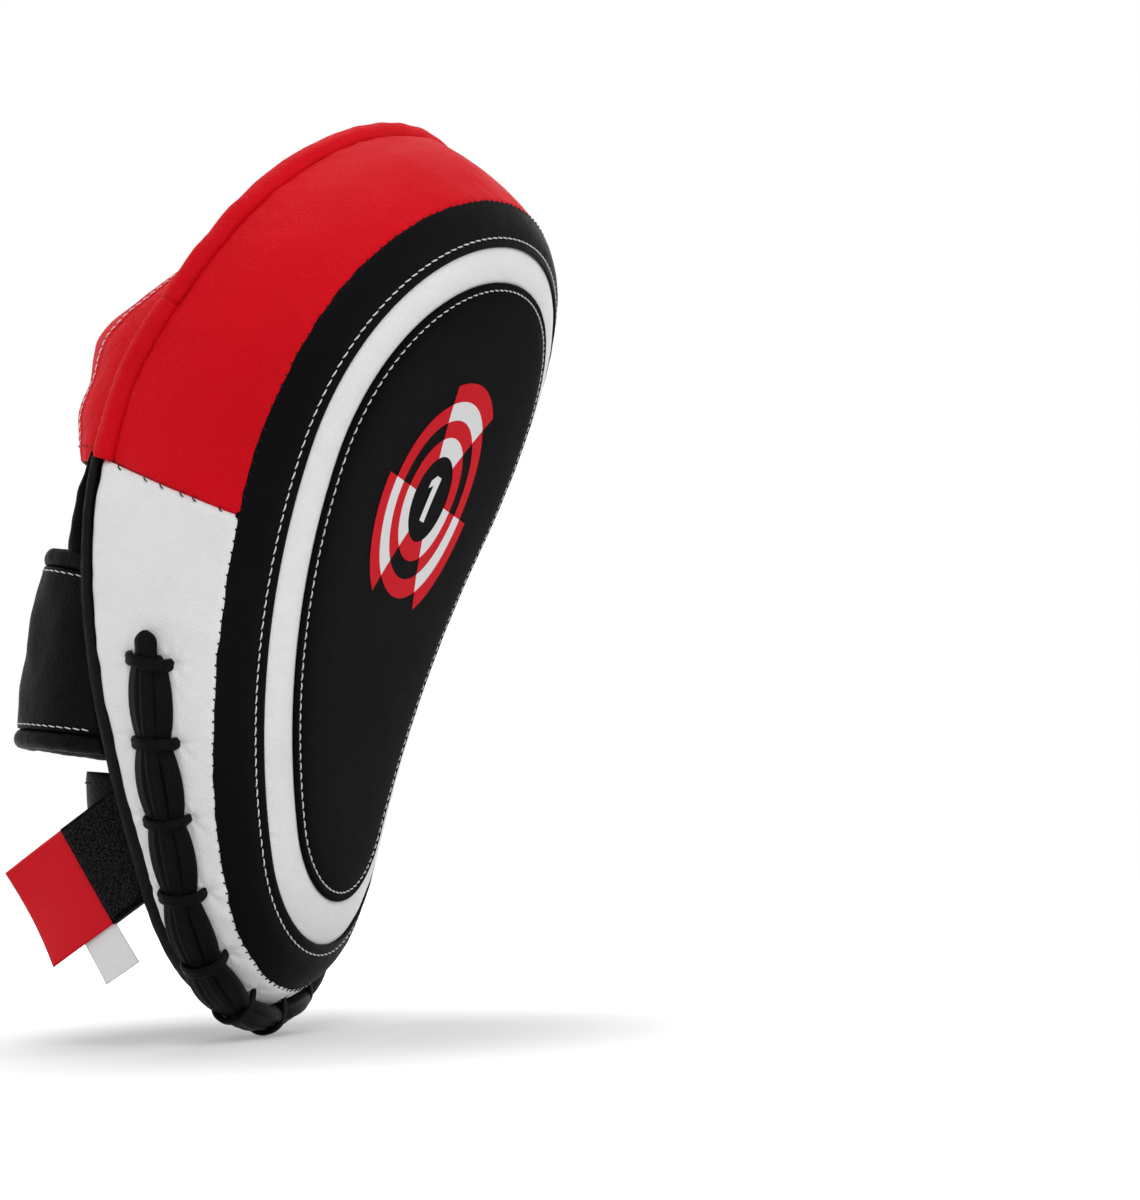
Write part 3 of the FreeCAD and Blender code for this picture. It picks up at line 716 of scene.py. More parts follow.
def lace_stops(pad):
    """Shares of the outline where the lace's cross loops sit, from the toe outwards."""
    step = pad.s.loop_pitch / pad.round_trip
    return [0.5] + [0.5 + hand * number * step for number in range(1, 7) for hand in (-1, 1)]


def seam_share(pad, depth_share):
    """Share of the outline where red meets white: the seam slopes down towards the ring."""
    return pad.share_at(pad.s.seam_up - 4.5 * MM * (1 - unit(depth_share)))


class SewSides(bpy.types.Operator):
    """Red side over the crown and white side round the toe, puckered along their seams."""
    bl_idname = "pad.sides"
    bl_label = "Sides"
    STEPS = 40
    HOLE_BESIDE = 7.2 * MM    # from the middle of the lace to where its loops dive in

    def pucker(self, apart, beside):
        """Dent and radiating creases round a hole this far along and beside the lace."""
        beside -= self.HOLE_BESIDE
        hole = math.hypot(apart, beside)
        creases = math.sin(7 * math.atan2(beside, apart + 1e-6))
        return (0.35 * hump(hole, 6 * MM) * creases - 0.8 * hump(hole, 1.9 * MM)) * MM

    def execute(self, context):
        pad = form()
        seam = pad.share_at(pad.s.seam_up)
        stops = lace_stops(pad)
        seams = [seam_share(pad, at) for at in spread(0, 1, self.STEPS)]
        for name, start, end, edge, finish, node, runs in (
                ("upper_side_leather", -seam, seam, 6.8 * MM, "red_leather", "upper_gusset", 459),
                ("lower_side_leather", seam, 1 - seam, 3.0 * MM, "white_leather", "lower_gusset", 419)):
            rows = []
            for run in spread(0, 1, runs):
                share = mix(start, end, run)
                outward = pad.outward(share)
                whole = pad.side_width(pad.on_outline(share)[1])
                last = (whole - edge) / whole
                from_seam = min(run, 1 - run) * (end - start) * pad.round_trip
                row = []
                for k, at in enumerate(seams):
                    depth_share = last * k / self.STEPS
                    share = mix(-at, at, run) if start < 0 else mix(at, 1 - at, run)
                    point = pad.on_side(share, depth_share)
                    from_ring, from_rear = depth_share * whole, (last - depth_share) * whole
                    near_edge = math.exp(-min(from_ring, from_rear) / (6 * MM))
                    move = (-1.5 * hump(from_ring, 0.9 * MM) - 1.3 * hump(from_rear, 0.9 * MM)
                            - 0.9 * hump(from_seam, 0.8 * MM)) * MM
                    move += (ripple(point, 5.5 * MM, 0.55 * MM * near_edge, 3.0)
                             + ripple(point, 17 * MM, 0.5 * MM, 9.0)
                             + ripple(point, 45 * MM, 0.7 * MM, 1.0))
                    if node == "lower_gusset":
                        move += self.pucker(
                            min(abs(share - stop) for stop in stops) * pad.round_trip,
                                            abs(depth_share - LACE_SHARE) * whole)
                    row.append(point + outward * move)
                rows.append(row + [p - outward * 1.5 * MM for p in reversed(row)])
            sewing = Sewing()
            sewing.sweep(rows)
            sewing.piece(name, finish, finish, node, 0.85)
        return {"FINISHED"}


class SewSeamTicks(bpy.types.Operator):
    """Black thread that closes the seams: slanted ticks where two skins meet."""
    bl_idname = "pad.seam_ticks"
    bl_label = "Seam thread"
    ON_COLOUR_SEAM = (0.13, 0.29, 0.37, 0.5, 0.61, 0.8)

    def execute(self, context):
        pad = form()
        thread = Sewing()
        slant = 0.7 * MM / pad.round_trip
        for share in around(int(pad.round_trip / pad.s.stitch_pitch)):
            outward = pad.outward(share)
            first = pad.on_face(share - slant, 0.3 * MM, -0.2 * MM)
            second = pad.on_side(share + slant, 1.7 * MM / pad.side_width(pad.on_outline(share)[1]))
            thread.cord([first.lerp(second, t) + outward * (0.1 * MM - 5.5 * MM * (t - 0.5) ** 2)
                         for t in spread(0.14, 0.86, 4)], [outward] * 5, 0.55 * MM, 0.45 * MM)
        for hand in (1, -1):
            for depth in self.ON_COLOUR_SEAM:
                share = hand * seam_share(pad, depth)
                thread.cord([pad.on_side(share + t * 0.55 * MM / pad.round_trip, depth + 0.014 * t,
                                         (0.02 - 0.7 * t * t) * MM) for t in spread(-1, 1, 4)],
                            [pad.outward(share)] * 5, 0.45 * MM, 0.4 * MM)
        thread.piece("seam_thread", "black_thread", "black_binding")
        return {"FINISHED"}


class RollEdges(bpy.types.Operator):
    """Red rolled edge behind the red side, black binding behind the white side."""
    bl_idname = "pad.edges"
    bl_label = "Rear edges"
    # (inset in mm, depth past the back: a share of the binding's width in front of it, else mm)
    BINDING = ((0.4, -1.15), (-0.5, -1.0), (-0.95, -0.75), (-1.05, -0.4), (-0.95, 0.0), (-0.5, 0.28),
               (0.4, 0.4), (3.0, 0.35), (5.4, 0.25), (6.0, 0.0), (6.0, -1.0))
    BINDING_WIDE = 3.2 * MM
    CLOSING = (0.9, 0.97, 1.0)    # size of the roll's sections at its joints

    def execute(self, context):
        pad = form()
        seam = pad.share_at(pad.s.seam_up)
        radius = pad.s.piping_radius
        roll = [(0.8 * MM - signed_power(math.cos(a), 0.85) * radius,
                 math.sin(a) * (radius + 0.3 * MM) - radius) for a in around(22, TURN)]
        sewing = Sewing()
        joint = -pad.share_at(9 * MM)
        for start, end in ((-seam, joint), (joint, seam)):
            shares = spread(start, end, int(420 * (end - start)) + 29)
            rows = swept(pad, shares, lambda share: roll, pad.back_depth)
            for number, row in enumerate(rows):
                centre = sum(row, Vector()) / len(row)
                close = self.CLOSING[min(number, len(rows) - 1 - number, 2)]
                for k, point in enumerate(row):
                    out = point - centre
                    wave = (ripple(point, 7 * MM, 0.35 * MM, 4.0)
                            + ripple(point, 2.5 * MM, 0.1 * MM, 8.0))
                    row[k] = centre + out * close + out.normalized() * wave
            sewing.sweep(rows)
        # folded lip where the roll is sewn to the side, and the thread in the groove beside it, drawn in
        # dark red so that it also stands for painted shade in the groove
        shares = spread(-seam, seam, 499)
        ups = [pad.outward(share) for share in shares]
        groove = -2 * radius - 0.05 * MM
        sewing.cord(back_line(pad, shares, 0.1 * MM, groove - 0.85 * MM), ups,
                    1.7 * MM, 1.5 * MM, 8)
        sewing.piece("rear_piping_leather", "red_leather", "red_leather", "rear_piping")
        thread = Sewing()
        thread.cord(back_line(pad, shares, -0.35 * MM, groove), ups, 0.7 * MM, 0.5 * MM)
        thread.piece("piping_thread", "red_thread", "red_leather")

        def binding(share):
            fuller = 0.65 + 0.75 * unit((-pad.on_outline(share)[1] - 40 * MM) / (110 * MM))
            return [(inset * MM, rear * (self.BINDING_WIDE * fuller if rear < 0 else MM))
                    for inset, rear in self.BINDING]
        shares = spread(seam, 1 - seam, 419)
        rows = swept(pad, shares, binding, pad.back_depth)
        for share, row in zip(shares, rows):
            outward = pad.outward(share)
            for k in range(len(row) - 3):
                row[k] = row[k] + outward * ripple(row[k], 4 * MM, 0.3 * MM, 6.0)
        sewing = Sewing()
        sewing.sweep(rows)
        sewing.piece("rear_binding_tape", "binding", "black_binding", "rear_binding")
        return {"FINISHED"}


class ThreadLace(bpy.types.Operator):
    """Flat black lace round the toe: three passes gathered by cross loops sewn into the leather."""
    bl_idname = "pad.lace"
    bl_label = "Lace"
    PINCH, LOOSE = 0.62, 1.06    # how far the passes spread under a loop and between two
    PASS_PITCH = 4.5 * MM
    TIP = 6 * MM

    def under(self, pad, share):
        """Near 1 where the outline faces down, where the lace is thicker and carries the pad."""
        return max(-pad.on_outline(share)[2][1], 0.0) ** 3

    def execute(self, context):
        pad = form()
        stops = lace_stops(pad)
        top = pad.share_at(LACE_TOP)
        shares = spread(top, 1 - top, 759)
        sewing = Sewing()
        for strand in (-1, 0, 1):
            path, ups, wides, thicks = [], [], [], []
            # only the middle pass reaches the ends, where the lace folds back on itself
            for share in shares if strand == 0 else shares[17:-17]:
                apart = min(abs(share - stop) for stop in stops) * pad.round_trip
                loose = mix(self.PINCH, self.LOOSE,
                            math.sin(PI * min(apart / pad.s.loop_pitch, 0.5)) ** 0.7)
                tip = min(share - top, 1 - top - share) * pad.round_trip
                close = math.sin(PI / 2 * min((tip + 0.2 * MM) / self.TIP, 1.0))
                under = self.under(pad, share)
                up = pad.on_outline(share)[1]
                offset = (strand * self.PASS_PITCH * loose * close
                          + 0.3 * MM * math.sin(share * 90 + strand))
                rise = 1.2 + 0.9 * (1 - abs(strand)) + 1.3 * (loose - self.PINCH) + 2.1 * under
                outward = pad.outward(share)
                path.append(pad.on_side(share, LACE_SHARE + offset / pad.side_width(up))
                            + outward * rise * MM)
                ups.append((outward + pad.rearward(up) * 0.45 * strand).normalized())
                folded = 0.0 if strand else 1 - ease((tip - self.TIP) / (5 * MM))
                wides.append((5.2 * (0.55 + 0.45 * loose) + 2.2 * folded + 1.7 * under) * MM)
                thicks.append((3.0 + 3.6 * under) * MM)
            sewing.braid(path, ups, wides, thicks, 9)
        sewing.piece("lace_passes", "lace", "lace", "lace_strands")
        sewing = Sewing()
        for number, share in enumerate(stops):
            high = (4.2 + 4.25 * self.under(pad, share)) * MM
            whole = pad.side_width(pad.on_outline(share)[1])
            outward = pad.outward(share)
            along = (pad.on_side(share + 0.002, LACE_SHARE)
                     - pad.on_side(share - 0.002, LACE_SHARE)).normalized()
            path, ups = [], []
            for t in spread(-1, 1, 24):
                across = 6.7 * MM * math.sin(PI / 2 * t)
                rise = high * max(math.cos(PI / 2 * t), 0) ** 0.5 - 3.2 * MM * abs(t) ** 8 - 0.2 * MM
                sway = 0.35 * MM * math.sin(2.1 * number + 2.3 * t)
                path.append(pad.on_side(share, LACE_SHARE + across / whole) + outward * rise
                            + along * sway)
            for k in range(25):
                up = along.cross((path[min(k + 1, 24)] - path[max(k - 1, 0)]).normalized())
                ups.append(up.normalized() * (1 if up.dot(outward) >= 0 else -1))
            wide = (3.6 + 0.5 * math.sin(5.3 * number)) * MM
            sewing.braid(path, ups, [wide] * 25, [2.0 * MM] * 25, 2)
        sewing.piece("lace_turns", "lace", "lace", "lace_loops")
        return {"FINISHED"}


# ---------------------------------------------------------------- arches over the back
HOOD_BOW = 9 * MM   # how far the middle of the hood's front edge curves towards the crown
HOOD_TOP = 44 * MM
HOOD = 78 * MM
# (share from the front, share of the half width, height in mm)
HOOD_SHAPE = ((0.0, 0.72, 8.0), (0.22, 0.88, 26.0), (0.42, 0.96, 37.5), (0.6, 1.0, 45.5),
              (0.74, 1.0, 39.0), (0.86, 1.0, 37.5), (0.95, 1.0, 32.5), (1.0, 1.0, 28.5))
ARCH_FULLNESS = 0.8
FOOT = 0.004 * PI    # the angle at which a shell's foot stops short of the back


def arch_point(pad, up, half, tall, angle):
    """Point of an arch over the back; angle runs from 0 at its left foot to pi at its right foot."""
    reach = -signed_power(math.cos(angle), ARCH_FULLNESS)
    rise = max(math.sin(angle), 0.0) ** ARCH_FULLNESS
    if up > 0:
        up += HOOD_BOW * min(up / HOOD_TOP, 1.2) ** 2 * (1 - reach * reach)
    return pad.on_back(half * reach, up, tall * rise)


def arch_body(sewing, pad, stations, thick, steps=90, wrinkle=None, ends=True):
    """Closed arched shell through (up, half width, height) stations, with rounded ends."""
    def cap(station, ahead, inset):
        return station[0] + ahead, *station[1:], thick * inset, thick * (1 - inset)
    layers = [(*station, 0.0, thick) for station in stations]
    if ends:
        reach = math.copysign(min(thick / 2, 1.2 * MM), stations[0][0] - stations[1][0])
        layers = [cap(stations[0], reach, 0.35), cap(stations[0], reach * 0.6, 0.12), *layers,
                  cap(stations[-1], -reach * 0.6, 0.12), cap(stations[-1], -reach, 0.35)]
    rows = []
    angles = spread(FOOT, PI - FOOT, steps)
    for up, half, tall, outer, inner in layers:
        row = [arch_point(pad, up, half - outer, tall - outer, a) for a in angles]
        under = [arch_point(pad, up, half - inner, tall - inner, a) for a in angles]
        if wrinkle:
            row = [top + (top - low).normalized() * wrinkle(top, up, a)
                   for top, low, a in zip(row, under, angles)]
        rows.append(row + under[::-1])
    start, wide = sewing.grid(rows, False, True), len(rows[0])
    for base in (start, start + (len(rows) - 1) * wide):
        for k in range(steps):
            sewing.faces.append((base + k, base + k + 1, base + wide - 2 - k, base + wide - 1 - k))


def over(station, count=200):
    """Places for a row of stitches over the arch at one station."""
    return [(station, angle) for angle in spread(0.02 * PI, 0.98 * PI, count)]


def arch_row(sewing, pad, places, pitch, wrinkle=None, lift=0.05 * MM, thick=0.36 * MM):
    """Stitches over an arch, through its ((up, half width, height), angle) places."""
    path, ups = [], []
    for (up, half, tall), angle in places:
        point = arch_point(pad, up, half, tall, angle)
        out = (point - arch_point(pad, up, half - 2 * MM, tall - 2 * MM, angle)).normalized()
        path.append(point + out * (lift + (wrinkle(point, up, angle) if wrinkle else 0.0)))
        ups.append(out)
    stitches(sewing, path, ups, pitch, thick)


def lining_ripple(point, up, angle):
    return ripple(point, 12 * MM, 0.2 * MM, 7.0)


def hood_station(pad, share, grow=0.0):
    wide = curve_through([(s, w) for s, w, _ in HOOD_SHAPE], share)
    tall = curve_through([(s, t) for s, _, t in HOOD_SHAPE], share)
    return mix(HOOD_TOP, pad.s.seam_up, share), HOOD * wide + grow, tall * MM + grow


CUFF_TOP, CUFF_FOOT, HEM = -56 * MM, -106 * MM, 5 * MM


def cuff_station(up, grow=0.0):
    share = (CUFF_TOP - up) / (CUFF_TOP - CUFF_FOOT)
    return up, mix(75, 65, share) * MM + grow, mix(37, 56, share) * MM + grow


class SewHood(bpy.types.Operator):
    """Red padded finger hood with its sewn front end, lining and black bolsters beside its mouth."""
    bl_idname = "pad.hood"
    bl_label = "Finger hood"
    SEAMS = (math.radians(25), math.radians(155))
    END_LENGTH, END_OVERLAP, END_ROUNDING = 9.5 * MM, 0.6 * MM, 0.26
    BOLSTER_HALF, BOLSTER_HIGH = 4.6 * MM, 7.2 * MM

    def wrinkle(self, point, up, angle):
        groove = sum(hump(angle - seam, 0.016) for seam in self.SEAMS)
        return (ripple(point, 24 * MM, 1.1 * MM, 3.0) + ripple(point, 8 * MM, 0.5 * MM, 5.0)
                - 0.7 * MM * groove)

    def front_end(self, pad):
        """Slopes from the hood's front down to the back panel, and is sewn to it."""
        up, half, tall = hood_station(pad, 0.0)
        sewing = Sewing()
        rows = []
        for t in spread(0, 1, 18):
            wide = half * (1 - self.END_ROUNDING * t ** 2.2)
            height = mix(tall, 1.2 * MM, ease(t) * 0.75 + 0.25 * t)
            line = up + t * self.END_LENGTH - self.END_OVERLAP
            row = [arch_point(pad, line, wide, height, angle) for angle in spread(0, PI, 70)]
            row = [p + pad.rearward(up) * ripple(p, 6 * MM, 0.3 * MM, 2.0) for p in row]
            rows.append(row + [arch_point(pad, line, wide, 0.15 * MM, angle)
                               for angle in spread(PI, 0, 70)[1:-1]])
        sewing.sweep(rows)
        sewing.piece("hood_front_end", "red_leather", "red_leather", "hood_closure")

    def bolster(self, pad, side, hand):
        sewing = Sewing()
        rows = []
        for t in spread(0, 1, 40):
            up = mix(pad.s.seam_up + 1 * MM, CUFF_TOP - 1 * MM, t)
            middle = pad.on_outline(pad.share_at(up))[0] - 0.2 * MM - self.BOLSTER_HALF
            height = self.BOLSTER_HIGH * math.sin(PI * (t * 0.5 + 0.12)) ** 0.7 * (0.55 + 0.45 * t)
            row = [pad.on_back(hand * (middle + self.BOLSTER_HALF * math.cos(a)), up,
                               height * 0.5 * (1 + math.sin(a)) + 0.1 * MM) for a in around(20, TURN)]
            rows.append(puffed(row, 6 * MM, 0.5 * MM, 1.0))
        sewing.sweep(rows)
        sewing.piece("bolster_%s_leather" % side, "cuff_leather", "black_leather", "bolster_" + side,
                     0.85)

    def execute(self, context):
        pad = form()
        sewing = Sewing()
        arch_body(sewing, pad, [hood_station(pad, share) for share in spread(0, 1, 60)], 1.6 * MM, 150,
                  self.wrinkle)
        sewing.piece("finger_hood_leather", "red_leather", "red_leather", "finger_hood", 0.7)
        sewing = Sewing()
        arch_body(sewing, pad, [hood_station(pad, share, -1.9 * MM) for share in spread(0, 1, 30)],
                  2.4 * MM, wrinkle=lining_ripple)
        sewing.piece("finger_hood_lining", "lining", "lining_fabric", "hood_lining", 0.5)
        self.front_end(pad)
        self.bolster(pad, "left", -1)
        self.bolster(pad, "right", 1)
        thread = Sewing()
        for angle in (self.SEAMS[0] + 0.045, self.SEAMS[1] - 0.045):
            arch_row(thread, pad, [(hood_station(pad, share), angle) for share in spread(0.3, 0.97, 200)],
                     0.85 * pad.s.stitch_pitch, self.wrinkle)
        thread.piece("hood_stitching", "thread", "white_leather")
        thread = Sewing()
        arch_row(thread, pad, over(hood_station(pad, 0.965)), pad.s.stitch_pitch, self.wrinkle)
        thread.piece("hood_mouth_stitching", "red_thread", "red_leather")
        return {"FINISHED"}


class SewCuff(bpy.types.Operator):
    """Black padded hand cuff with rolled, top-stitched hems and a knit lining."""
    bl_idname = "pad.cuff"
    bl_label = "Hand cuff"

    def puff(self, point, up, angle):
        swell = math.sin(PI * unit((CUFF_TOP - HEM - up) / (CUFF_TOP - CUFF_FOOT - 2 * HEM))) ** 0.6
        return (0.8 * MM * swell + ripple(point, 14 * MM, 0.9 * MM, 6.0) * swell
                + ripple(point, 5 * MM, 0.2 * MM, 2.0))

    def execute(self, context):
        pad = form()
        sewing = Sewing()
        arch_body(sewing, pad, [cuff_station(up) for up in spread(CUFF_TOP - HEM, CUFF_FOOT + HEM, 30)],
                  1.6 * MM, 130, self.puff, False)
        sewing.piece("hand_cuff_leather", "cuff_leather", "black_leather", "hand_cuff", 0.6)
        sewing = Sewing()
        ups = spread(CUFF_TOP - 2 * MM, CUFF_FOOT + 2 * MM, 20)
        arch_body(sewing, pad, [cuff_station(up, -1.9 * MM) for up in ups], 2.3 * MM,
                  wrinkle=lining_ripple)
        sewing.piece("hand_cuff_lining", "lining", "lining_fabric", "cuff_lining", 0.5)
        thread = Sewing()
        for end, edge, hand in (("top", CUFF_TOP, -1), ("foot", CUFF_FOOT, 1)):
            sewing = Sewing()
            section = [cuff_station(edge + hand * HEM / 2 * (1 + 0.96 * math.cos(b)),
                                    -1.7 * MM + 2.4 * MM * math.sin(b)) for b in around(16, TURN)]
            sewing.sweep([puffed([arch_point(pad, *station, angle) for station in section],
                                 5 * MM, 0.35 * MM, 2.0) for angle in spread(FOOT, PI - FOOT, 150)])
            sewing.piece("cuff_%s_hem_leather" % end, "cuff_leather", "black_leather",
                         "cuff_%s_hem" % end, 0.8)
            arch_row(thread, pad, over(cuff_station(edge + hand * (HEM + 1.0 * MM)), 260),
                     pad.s.stitch_pitch, self.puff, 0.1 * MM)
        thread.piece("cuff_stitching", "thread", "white_leather")
        return {"FINISHED"}


class SewBack(bpy.types.Operator):
    """Black back panel, its domed palm grip, and the finish of the patches and fillings."""
    bl_idname = "pad.back"
    bl_label = "Back panel and grip"
    GRIP_UP, GRIP_RADIUS, GRIP_HEIGHT = -52 * MM, 30 * MM, 20 * MM
    BARE_NODES = {"hook_patch": "pile", "strap_anchor": "cuff_leather", "front_foam": "foam",
                  "core_foam": "foam", "palm_grip_foam": "foam", "gel_layer": "gel",
                  "back_board": "board"}

    def grip_point(self, pad, a, t):
        """Point of the grip's dome, towards a and at t from its top to its rim."""
        r = self.GRIP_RADIUS * math.sin(PI / 2 * t)
        height = self.GRIP_HEIGHT * (1 - (r / self.GRIP_RADIUS) ** 2) ** 0.62
        seams = sum(hump((a - seam + PI) % TURN - PI, 0.05) for seam in (0.5 * PI, 1.5 * PI))
        point = pad.on_back(r * math.cos(a), self.GRIP_UP + r * math.sin(a),
                            0.3 * MM + height * (1 - 0.05 * seams * math.sin(PI * t)))
        return point + Vector((0, ripple(point, 9 * MM, 0.3 * MM, 6.0), 0))

    def execute(self, context):
        pad = form()
        rows = []
        for share in around(420):
            # tucked under the red roll above the seam, up to the folded binding below it
            above = ease((pad.on_outline(share)[1] - pad.s.seam_up) / (6 * MM) + 0.5)
            across, up, _ = pad.on_outline(share, mix(6.1, 4.2, above) * MM)
            row = []
            for t in spread(0, 1, 18):
                x, u = mix(across, 0, t), mix(up, pad.spine(share), t)
                sink = ripple(Vector((x, u, 0)), 14 * MM, 0.25 * MM, 4.0) - 0.9 * MM * hump(t, 0.02)
                row.append(pad.on_back(x, u, min(sink, 0.05 * MM)))
            rows.append(row)
        sewing = Sewing()
        sewing.two_sided(rows, [[p - pad.rearward(0) * 1.4 * MM for p in row] for row in rows])
        sewing.piece("back_panel_leather", "palm_leather", "black_leather", "back_panel", 0.7,
                     merge=WELD)
        sewing = Sewing()
        sewing.grid([[self.grip_point(pad, a, t) for t in spread(0, 1, 24)]
                     for a in spread(0, TURN, 96)])
        sewing.piece("palm_grip_leather", "palm_leather", "black_leather", "palm_grip", 0.9,
                     merge=0.01 * MM, facing=Vector((0, 1, 0)))
        thread = Sewing()
        reach = 1.02 * self.GRIP_RADIUS
        places = [(reach * math.cos(a), self.GRIP_UP + reach * math.sin(a))
                  for a in spread(0, TURN, 240)]
        stitches(thread, [pad.on_back(x, up, 0.4 * MM) for x, up in places],
                 [pad.rearward(up) for _, up in places], pad.s.stitch_pitch)
        shares = around(900) + [0.0]
        stitches(thread, back_line(pad, shares, 8.4 * MM, 0.25 * MM),
                 [pad.rearward(pad.on_outline(share, 8.4 * MM)[1]) for share in shares],
                 pad.s.stitch_pitch)
        thread.piece("back_stitching", "black_thread", "black_binding")
        for node, finish in self.BARE_NODES.items():
            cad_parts[node].material_slots[0].material = material(finish)
        return {"FINISHED"}


# ---------------------------------------------------------------- wrist strap and labels
STRAP_TOP, STRAP_FOOT, STRAP, STRAP_TALL = -110 * MM, -142 * MM, 46 * MM, 35 * MM
STRAP_THICK = 2.1 * MM
TAB_ANGLE = math.radians(33)
TAB_CORNER = (-STRAP - 2.2 * MM, -125.5 * MM, 29 * MM)


def tab_point(pad, along, out, inward=0.0):
    """Point in the free end's plane: along its outer edge, out of the pad, inward along +X."""
    edge = Vector((0, -math.sin(TAB_ANGLE), -math.cos(TAB_ANGLE)))
    away = Vector((0, math.cos(TAB_ANGLE), -math.sin(TAB_ANGLE)))
    return pad.on_back(*TAB_CORNER) + edge * along + away * out + Vector((inward, 0, 0))


def plate_body(sewing, pad, size, place_at, thick, steps=(24, 18), curl=lambda c, r: 0.0):
    """Closed flat piece over (along, out) from (0, 0) to size, each point moved inward by curl."""
    def layer(inward):
        return [[tab_point(pad, *place_at(size[0] * c, size[1] * r), curl(c, r) + inward)
                 for c in spread(0, 1, steps[0])] for r in spread(0, 1, steps[1])]
    start, other, n = sewing.grid(layer(0.0)), sewing.grid(layer(thick)), steps[0] + 1
    last = steps[1] * n
    rim = [(a, a + 1) for c in range(n - 1) for a in (c, last + c)]
    rim += [(a, a + n) for r in range(0, last, n) for a in (r, r + n - 1)]
    sewing.faces += [(start + a, start + b, other + b, other + a) for a, b in rim]


